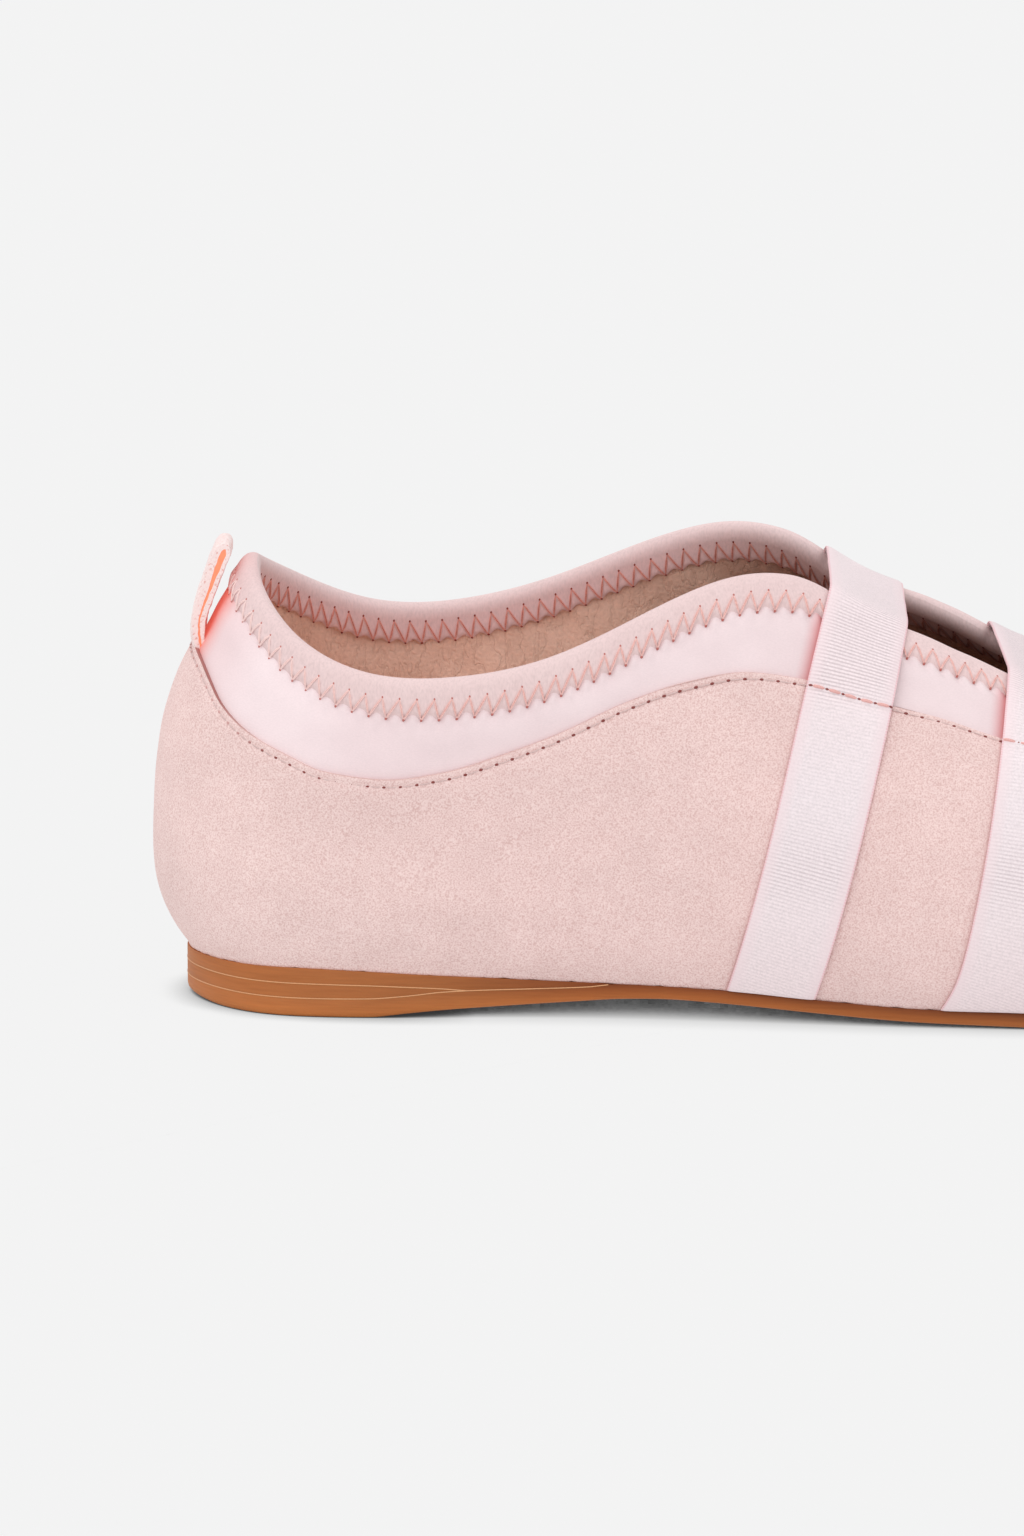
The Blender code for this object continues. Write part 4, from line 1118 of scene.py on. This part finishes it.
def zigzag_leg(skin, k, inside):
    """Points and outward directions of one leg of the zigzag; even legs go up, odd ones come down."""
    going_up = k % 2 == 0
    start = (k // 2) * ZIGZAG_STEPS + (0 if going_up else ZIGZAG_SLANT)
    steps = ZIGZAG_SLANT if going_up else ZIGZAG_STEPS - ZIGZAG_SLANT
    height = sizes().zigzag_height / MM * (1.2 if inside else 1.0)
    spots = []
    for i in range(steps + 1):
        j = (start + i) % len(skin.at)
        share = i / steps
        climb = share if going_up else 1.0 - share
        down = BAND_DEPTH + 0.3 - height * climb
        if inside:
            wave = zigzag_wave((start + i) / ZIGZAG_STEPS, 1.0)
            out = inner_face(down, wave) - 0.14 * math.sin(math.pi * share) ** 0.5
        else:
            out = -0.5 + 0.6 * min(1.0, 1.6 * climb) + 0.2 * math.sin(math.pi * share) - 0.12
        spots.append(skin.spot(j, skin.length[j] - down, out))
    line, faces = (np.array(part) for part in zip(*spots))
    return line, -faces if inside else faces


class SNEAKER_OT_zigzag(bpy.types.Operator):
    """Zigzag stitch along the binding, outside and inside, with its needle holes"""

    bl_idname = "sneaker.zigzag"
    bl_label = "Zigzag stitch"

    def execute(self, context):
        length = crest_places(8)[1]
        stitches = round(length / fitted_pitch(length, sizes().zigzag_pitch / MM))
        skin = Skin(crest_places(stitches * ZIGZAG_STEPS)[0])
        radius = 0.5 * sizes().thread / MM
        for side, inside in (("outside", False), ("inside", True)):
            pairs = []
            between = []
            spots = []
            for k in range(2 * stitches):
                line, faces = zigzag_leg(skin, k, inside)
                aside = unit(np.cross(faces, np.gradient(line, axis=0)))
                bow = 0.13 * np.sqrt(np.sin(np.linspace(0.0, math.pi, len(line))).clip(0.0))[:, None]
                pairs += [(line + bow * aside, faces), (line - bow * aside, faces)]
                between.append((line - 0.1 * faces, faces))
                spots.append((line[0] + 0.04 * faces[0], faces[0], unit(line[1] - line[0]), 0.3, 0.24))

            # inside, the colours are darker, rosier copies of the outside ones, painted shade within the
            # collar; outside, the zigzag is painted paler toward the heel, painted light
            def yarn(name, outer, inner, cloth, heel_paint):
                return thread_material(f"{name} {side}", linear(inner) if inside else outer, inside,
                                       None if inside else linear(cloth), (50.0, 16.0, heel_paint))

            thread = yarn("zigzag thread", colours().thread, "#F6B0A4", "#FDE9E6", 0.7)
            tubes(f"zigzag_{side}", pairs, 0.6 * radius, thread, 5)
            dark = yarn("shade between threads", linear("#EBB4AD"), "#CE7A70", "#F6D8D4", 0.8)
            tubes(f"zigzag_shade_{side}", between, 0.9 * radius, dark, 5)
            hole = yarn("needle hole shade", linear("#C06E66"), "#9C443C", "#CF8A83", 0.6)
            dimples(f"zigzag_holes_{side}", spots, hole)
        return {"FINISHED"}


class SNEAKER_OT_topstitch(bpy.types.Operator):
    """Topstitch along the suede edge, running over the two straps"""

    bl_idname = "sneaker.topstitch"
    bl_label = "Topstitch"

    def execute(self, context):
        length = panel_places(8)[1]
        stitches = round(length / fitted_pitch(length, sizes().topstitch_pitch / MM))
        skin = Skin(panel_places(stitches * STITCH_STEPS)[0])
        rises = skin.panel_rises() - sizes().topstitch_inset / MM

        def on_line(j, beside, over_strap):
            """Point and outward direction, so far out beside the straps and over a strap's face."""
            cover = strap_cover(*skin.spot(j, rises[j], 0.0)[0])
            return skin.spot(j, rises[j], (1.0 - cover) * beside + cover * (STITCHED_STRAP + over_strap))

        paths = []
        over = []
        spots = []
        for k in range(stitches):
            bows = 0.2 * np.sin(math.pi * np.arange(STITCH_STEPS - 1) / (STITCH_STEPS - 2))
            drawn = [on_line(k * STITCH_STEPS + i, -0.3 + bow, bow) for i, bow in enumerate(bows, 1)]
            line, faces = (np.array(part) for part in zip(*drawn))
            covered = strap_cover(*line[STITCH_STEPS // 2]) > 0.5
            (over if covered else paths).append((line, faces))
            spot, face = on_line(k * STITCH_STEPS, -0.2, 0.05)
            spots.append((spot + 0.13 * face, face, unit(line[1] - line[0]), 0.4, 0.25))
        radius = 0.5 * sizes().thread / MM
        matching = thread_material("topstitch thread", shade(colours().suede, 0.85))
        tubes("topstitch", paths, radius, matching)
        pink = thread_material("topstitch thread over the straps", linear("#ECB4AE"))
        tubes("topstitch_over_straps", over, 2.0 * radius, pink)
        dark = thread_material("needle hole shade", linear("#8C443F"), cloth=linear("#D9A9A4"),
                               fade=(21.0, 13.0, 0.9))
        dimples("topstitch_holes", spots, dark)
        return {"FINISHED"}


def smooth_path(rows, spacing, soft, passes):
    """Rows of points drawn again an even run apart along a path smoothed by shares from `soft`."""
    rows = np.array(rows)
    for _ in range(passes):
        pull = 0.25 * rows[:-2] - 0.5 * rows[1:-1] + 0.25 * rows[2:]
        rows[1:-1] += soft[1:-1, None, None] * pull
    runs = runs_along(rows[:, rows.shape[1] // 2, :3])
    at = np.linspace(0.0, runs[-1], int(runs[-1] / spacing))
    return read_off(at, runs, rows.reshape(len(rows), -1)).reshape(len(at), *rows.shape[1:]), at


def strap_rows(strap, columns):
    """Middle points and facings of a strap from the outer side of the sole to the inner side, and
    how far each row may give where the strap bends over the collar."""
    skin = skin_round(ROUND_STEPS)
    wide_y = round_the_shoe(skin.at)[:, 3]
    lift = STRAP_LIFT + 0.5 * STRAP_CLOTH
    radius = 0.5 * BAND_WIDTH
    offsets = np.linspace(-0.5, 0.5, columns) * STRAP_WIDTH
    sides = []
    for side in (-1.0, 1.0):
        picked = np.where(side * wide_y > 5.0)[0]
        rows = []
        for share in np.linspace(0.004, 1.0, STRAP_SIDE_ROWS):
            line, face = (np.vstack([read_off(share, skin.runs[i] / (skin.length[i] - 1.5), values[i])
                                     for i in picked]) for values in (skin.points, skin.normals))
            off = line[:, 0] - strap_middle(strap, side, line[:, 2])
            order = np.argsort(off)
            spot = read_off(offsets, off[order], line[order])
            out = unit(read_off(offsets, off[order], face[order]))
            rows.append(np.hstack([spot + lift * out, out]))
        # from here the strap bends round the binding's edge
        ahead = unit(np.gradient(spot, axis=0))
        rising = np.cross(out, ahead)
        rising *= np.sign(rising[:, 2])[:, None]
        turn = np.arctan2(np.sum(rising * UP, axis=1), np.sum(out * UP, axis=1))
        for share in np.linspace(0.1, 1.0, 8):
            angle = (share * turn)[:, None]
            out_now = np.cos(angle) * out + np.sin(angle) * rising
            rows.append(np.hstack([spot - radius * out + (radius + lift) * out_now, out_now]))
        sides.append(rows)
    span = [(1 - share) * sides[0][-1] + share * sides[1][-1] for share in np.linspace(0.03, 0.97, 36)]
    # only the rows near the collar may give
    soft = np.clip((np.arange(len(sides[0])) - 55.0) / 12.0, 0.0, 1.0)
    return np.array(sides[0] + span + sides[1][::-1]), np.concatenate([soft, np.ones(len(span)), soft[::-1]])


class SNEAKER_OT_straps(bpy.types.Operator):
    """Two elastic straps from the sole over the instep, pressed down along the topstitch"""

    bl_idname = "sneaker.straps"
    bl_label = "Elastic straps"

    def execute(self, context):
        woven = elastic_material()
        inset = sizes().topstitch_inset / MM
        for strap in STRAPS:
            drawn, soft = strap_rows(strap, 21)
            rows, runs = smooth_path(drawn, 0.55, np.maximum(soft, 0.2), 36)
            grid = rows[:, :, :3]
            facing = unit(rows[:, :, 3:])
            pressed = 0.2 * bell(through(PANEL_EDGE, 1, grid[:, :, 0]) - inset - grid[:, :, 2], 0.7)
            thickness = STRAP_CLOTH - pressed
            thickness[[0, -1]] *= 0.5
            grid = grid + (0.05 * ripple(grid, 12.0, 31) - pressed)[:, :, None] * facing
            ribbon(f"{strap[0]}_elastic", grid, facing, thickness, runs, woven, (strap[0],))
        return {"FINISHED"}


class SNEAKER_OT_pull_loop(bpy.types.Operator):
    """Folded tape behind the heel, coming out from under the suede, with painted light glowing warm inside
    the fold
    """

    bl_idname = "sneaker.pull_loop"
    bl_label = "Pull loop"

    def tape(self, path, wide, name, finish, replaced, thin_edge=0.7):
        """Tape of a width along a side path of (x, z, thickness), bent round the heel at its foot."""
        places = np.arange(len(path), dtype=float)
        at = np.linspace(0.0, len(path) - 1.0, 8 * len(path))
        line = np.column_stack([through(np.column_stack([places, path]), k, at) for k in (1, 2, 3)])
        for _ in range(4):
            line[1:-1] = 0.25 * line[:-2] + 0.5 * line[1:-1] + 0.25 * line[2:]
        x, z, thick = line.T
        level = np.zeros(len(line))
        line = np.column_stack([x, level, z])
        ahead = unit(np.gradient(line, axis=0))
        outward = np.column_stack([ahead[:, 2], level, -ahead[:, 0]])
        ys = np.linspace(-0.5, 0.5, 15) * wide
        bent = np.clip((66.0 - z) / 5.0, 0.0, 1.0)
        grid = np.array([[p + np.array([0.018 * y * y * b, y, 0.0]) for y in ys] for p, b in zip(line, bent)])
        facing = np.repeat(outward[:, None, :], len(ys), axis=1)
        grid += 0.05 * ripple(grid, 1.1, 51)[:, :, None] * facing
        thickness = np.repeat(thick[:, None], len(ys), axis=1)
        ribbon(name, grid, facing, thickness, runs_along(line), finish, replaced, thin_edge)

    def execute(self, context):
        cloth = tape_material("folded tape", colours().webbing)
        middle = np.array([(x + 0.5 * (LOOP_SKIN - bulk) * (1.0 if k < LOOP_INNER_LEG else -1.0), z, bulk)
                           for k, ((x, z), bulk) in enumerate(zip(LOOP_PATH, LOOP_BULK))])
        path = np.vstack([(7.95, 60.2, 0.8), (8.15, 62.4, 0.8), middle, (7.2, 60.4, 0.9)])
        self.tape(path, LOOP_WIDTH, "pull_loop_tape", cloth, ("pull_loop",))
        # the fold's filling lies between the two legs
        inner, outer = middle[:LOOP_INNER_LEG], middle[:LOOP_INNER_LEG + 1:-1]
        heights = np.linspace(64.0, 78.5, 9)
        right = np.interp(heights, inner[:, 1], inner[:, 0] - 0.5 * inner[:, 2])
        left = np.interp(heights, outer[:, 1], outer[:, 0] + 0.5 * outer[:, 2])
        core = np.column_stack([0.5 * (left + right), heights, np.maximum(right - left + 0.75, 0.9)])
        # the fold's salmon colour is painted light that has passed through the thin tape
        warm = knit_material("tape inside the fold", linear("#FF9C78"))
        # painted glow: light that has passed through the thin tape
        lit = warm.node_tree.nodes["Principled BSDF"]
        lit.inputs["Emission Color"].default_value = linear("#FF8A60")
        lit.inputs["Emission Strength"].default_value = 0.12
        self.tape(np.vstack([(7.75, 61.0, 0.7), core]), LOOP_WIDTH - 0.14, "pull_loop_fold", warm, (), 1.0)
        return {"FINISHED"}


def cross_rows(inset, height, end, count):
    """Side points at shared x over the foot outline, with heights: (x, outer y, inner y, z)."""
    outline = foot_outline(inset)
    turned = np.roll(outline, -int(np.argmin(outline[:, 0])), axis=0)
    toe = int(np.argmax(turned[:, 0]))
    outer = turned[:toe + 1]
    inner = np.vstack([turned[toe:], turned[:1]])[::-1]
    if end is None:
        shares = 0.5 - 0.5 * np.cos(np.linspace(0.0, math.pi, count))
        end = turned[toe, 0]
    else:
        shares = 1.0 - np.cos(np.linspace(0.0, 0.5 * math.pi, count))
    xs = turned[0, 0] + (end - turned[0, 0]) * shares
    return np.column_stack([xs, np.interp(xs, outer[:, 0], outer[:, 1]),
                            np.interp(xs, inner[:, 0], inner[:, 1]), height(xs)])


def layer(name, levels, finish, slot, replaced, end=None, count=140):
    """Solid layer between levels, each an inset and a height by x."""
    points = []
    rings = []
    for inset, height in levels:
        outer = []
        inner = []
        for x, y_outer, y_inner, z in cross_rows(inset, height, end, count):
            points.append((x, y_outer, z))
            outer.append(len(points) - 1)
            if abs(y_outer - y_inner) < 0.01:
                inner.append(outer[-1])
            else:
                points.append((x, y_inner, z))
                inner.append(len(points) - 1)
        rings.append((outer, inner))
    faces = []

    def face(*corners):
        kept = [c for k, c in enumerate(corners) if c != corners[k - 1]]
        if len(set(kept)) > 2:
            faces.append(tuple(kept))

    for (low_outer, low_inner), (top_outer, top_inner) in zip(rings[:-1], rings[1:]):
        for k in range(len(low_outer) - 1):
            face(low_outer[k], low_outer[k + 1], top_outer[k + 1], top_outer[k])
            face(low_inner[k + 1], low_inner[k], top_inner[k], top_inner[k + 1])
        if low_outer[-1] != low_inner[-1]:
            face(low_outer[-1], low_inner[-1], top_inner[-1], top_outer[-1])
    for (outer, inner), flip in ((rings[0], False), (rings[-1], True)):
        for k in range(len(outer) - 1):
            loop = (outer[k], inner[k], inner[k + 1], outer[k + 1])
            face(*(reversed(loop) if flip else loop))
    return new_piece(name, np.array(points), faces, finish, replaced)


def levels_over(which, inset, corners):
    """Levels of a layer from its side's corners: further inset, which of the sole's lines, height over it."""
    return [(inset + move, lambda x, line=which[k], over=over: sole_line(line, x) + over)
            for move, k, over in corners]


class SNEAKER_OT_sole(bpy.types.Operator):
    """Gum outsole and the two heel layers, with thin pale glue lines between them"""

    bl_idname = "sneaker.sole"
    bl_label = "Sole"

    def execute(self, context):
        gum = gum_material("gum rubber", colours().gum)
        heel = gum_material("gum rubber, heel layers", shade(colours().gum, 0.93))
        glue = thread_material("glue line", linear("#E2A878"))
        tread = levels_over((UNDER, TREAD), -SOLE_LEDGE, (
            (2.6, 0, 0.0), (0.9, 0, 0.0), (0.45, 0, 0.12), (0.12, 0, 0.45), (0.0, 0, 0.95), (0.0, 1, -0.05),
            (0.06, 1, 0.04), (1.2, 1, 0.04)))
        layer("outsole_gum", tread, gum, "gum", ("outsole",))
        heel_layer = ((1.2, 0, 0.02), (0.0, 0, 0.02), (0.0, 1, -0.05), (0.06, 1, 0.04), (1.2, 1, 0.04))
        for name, lines, end, node in (("heel_lift_gum", (TREAD, LIFT), LIFT_TIP, "heel_lift"),
                                       ("heel_wedge_gum", (LIFT, SEAT), WEDGE_TIP, "heel_wedge")):
            layer(name, levels_over(lines, -SOLE_LEDGE, heel_layer), heel, "gum", (node,), end, HEEL_STATIONS)
        bead = ((0.6, 0, -0.07), (-0.05, 0, -0.06), (-0.05, 0, 0.1), (0.6, 0, 0.11))
        for name, lines, end in (("glue_line_low", (TREAD,), WEDGE_TIP - 1.0),
                                 ("glue_line_high", (LIFT,), LIFT_TIP)):
            layer(name, levels_over(lines, -SOLE_LEDGE, bead), glue, "gum", (), end, HEEL_STATIONS)
        return {"FINISHED"}


class SNEAKER_OT_insole(bpy.types.Operator):
    """Leather-covered footbed with a soft rim"""

    bl_idname = "sneaker.insole"
    bl_label = "Insole"

    def execute(self, context):
        board = GAP + MARGIN_SKIN + GAP
        top = board + INSOLE
        levels = levels_over((SEAT,), SUEDE + WALL, (
            (5.0, 0, board), (0.9, 0, board), (0.3, 0, board + 0.9), (0.25, 0, top - 0.9),
            (0.6, 0, top - 0.25), (1.3, 0, top), (2.8, 0, top)))
        leather = leather_material("footbed leather", shade(colours().lining, 1.05))
        layer("footbed", levels, leather, "lining", ("insole",))
        return {"FINISHED"}


class SNEAKER_OT_stage(bpy.types.Operator):
    """Pale floor, soft light and the side-on camera"""

    bl_idname = "sneaker.stage"
    bl_label = "Stage"

    def floor_finish(self):
        """Near-white floor with a painted contact shadow that darkens it only close to the shoe."""
        material = bpy.data.materials.new("pale studio floor")
        material.use_nodes = True
        tree = material.node_tree
        tree.nodes.clear()
        near = add(tree, "ShaderNodeAmbientOcclusion", {"Distance": SHADOW_REACH}, samples=32)
        glow = add(tree, "ShaderNodeEmission", {"Color": linear("#F3F3F3"), "Strength": 0.965})
        paint = add(tree, "ShaderNodeBsdfDiffuse", {"Color": (0.03, 0.03, 0.03, 1.0)})
        both = add(tree, "ShaderNodeAddShader", {0: glow.outputs[0], 1: paint.outputs[0]})
        # the painted shadow's darkest colour
        dark = add(tree, "ShaderNodeEmission", {"Color": (0.035, 0.035, 0.035, 1.0)})
        # light reaches in under the raised arch, less under the heel
        rise = ramp(tree, placed(tree, shoe_axes(tree)["X"], 0.0, 60.0 * MM),
                    [(0.0, 0.4), (0.17, 0.8), (0.7, 0.72), (0.93, 0.2)])
        close = maths(tree, "POWER", placed(tree, near.outputs["AO"], 0.034, 0.61),
                      maths(tree, "MULTIPLY", rise, 2.0))
        mixed = add(tree, "ShaderNodeMixShader", {0: close, 1: dark.outputs[0], 2: both.outputs[0]})
        add(tree, "ShaderNodeOutputMaterial", {"Surface": mixed.outputs[0]})
        return material

    def execute(self, context):
        scene = bpy.context.scene
        scene.view_settings.view_transform = "Standard"
        mesh = bpy.data.meshes.new("floor")
        mesh.from_pydata([(-FLOOR, -FLOOR, 0.0), (FLOOR, -FLOOR, 0.0), (FLOOR, FLOOR, 0.0),
                          (-FLOOR, FLOOR, 0.0)], [], [(0, 1, 2, 3)])
        mesh.materials.append(self.floor_finish())
        floor = bpy.data.objects.new("floor", mesh)
        scene.collection.objects.link(floor)

        scene.world = bpy.data.worlds.new("studio")
        scene.world.use_nodes = True
        backdrop = scene.world.node_tree.nodes["Background"].inputs
        backdrop["Color"].default_value = (1.0, 1.0, 1.0, 1.0)
        backdrop["Strength"].default_value = 0.66
        for name, energy, size, turn in LIGHTS:
            light = bpy.data.lights.new(name, "SUN")
            light.energy = energy
            light.angle = math.radians(size)
            lamp = bpy.data.objects.new(name, light)
            lamp.rotation_euler = [math.radians(a) for a in turn]
            scene.collection.objects.link(lamp)

        camera = bpy.data.cameras.new("camera")
        camera.sensor_width = 36.0
        camera.lens = camera.sensor_width * CAMERA_DISTANCE / SEEN_HEIGHT
        camera.clip_start = 0.05
        camera.clip_end = 60.0
        eye = bpy.data.objects.new("camera", camera)
        rise = math.radians(CAMERA_RISE)
        eye.location = (heel_shift() + np.array(AIM) * MM
                        + CAMERA_DISTANCE * np.array([0.0, -math.cos(rise), math.sin(rise)]))
        eye.rotation_euler = (math.radians(90.0) - rise, 0.0, 0.0)
        scene.collection.objects.link(eye)
        scene.camera = eye
        return {"FINISHED"}


STEPS = (SNEAKER_OT_suede, SNEAKER_OT_satin, SNEAKER_OT_lining, SNEAKER_OT_binding, SNEAKER_OT_zigzag,
         SNEAKER_OT_straps, SNEAKER_OT_topstitch, SNEAKER_OT_pull_loop, SNEAKER_OT_sole,
         SNEAKER_OT_insole, SNEAKER_OT_stage)


class SNEAKER_PT_panel(bpy.types.Panel):
    """Sidebar panel with the sizes, the colours and a button for each piece"""

    bl_idname = "SNEAKER_PT_panel"
    bl_label = "Ballet Sneaker"
    bl_space_type = "VIEW_3D"
    bl_region_type = "UI"
    bl_category = "Sneaker"

    def draw(self, context):
        for group in (context.scene.sneaker_sizes, context.scene.sneaker_colours):
            box = self.layout.box()
            for name in group.__annotations__:
                box.prop(group, name)
        for step in STEPS:
            self.layout.operator(step.bl_idname)


CLASSES = (SneakerSizes, SneakerColours, *STEPS, SNEAKER_PT_panel)


def register():
    """Register the classes and hang the settings on the scene."""
    for cls in CLASSES:
        bpy.utils.register_class(cls)
    bpy.types.Scene.sneaker_sizes = PointerProperty(type=SneakerSizes)
    bpy.types.Scene.sneaker_colours = PointerProperty(type=SneakerColours)


def unregister():
    """Take the settings and the classes away again."""
    del bpy.types.Scene.sneaker_colours
    del bpy.types.Scene.sneaker_sizes
    for cls in reversed(CLASSES):
        bpy.utils.unregister_class(cls)


def main():
    """Build every piece in order."""
    register()
    for step in STEPS:
        group, name = step.bl_idname.split(".")
        getattr(getattr(bpy.ops, group), name)()


if __name__ == "__main__":
    main()
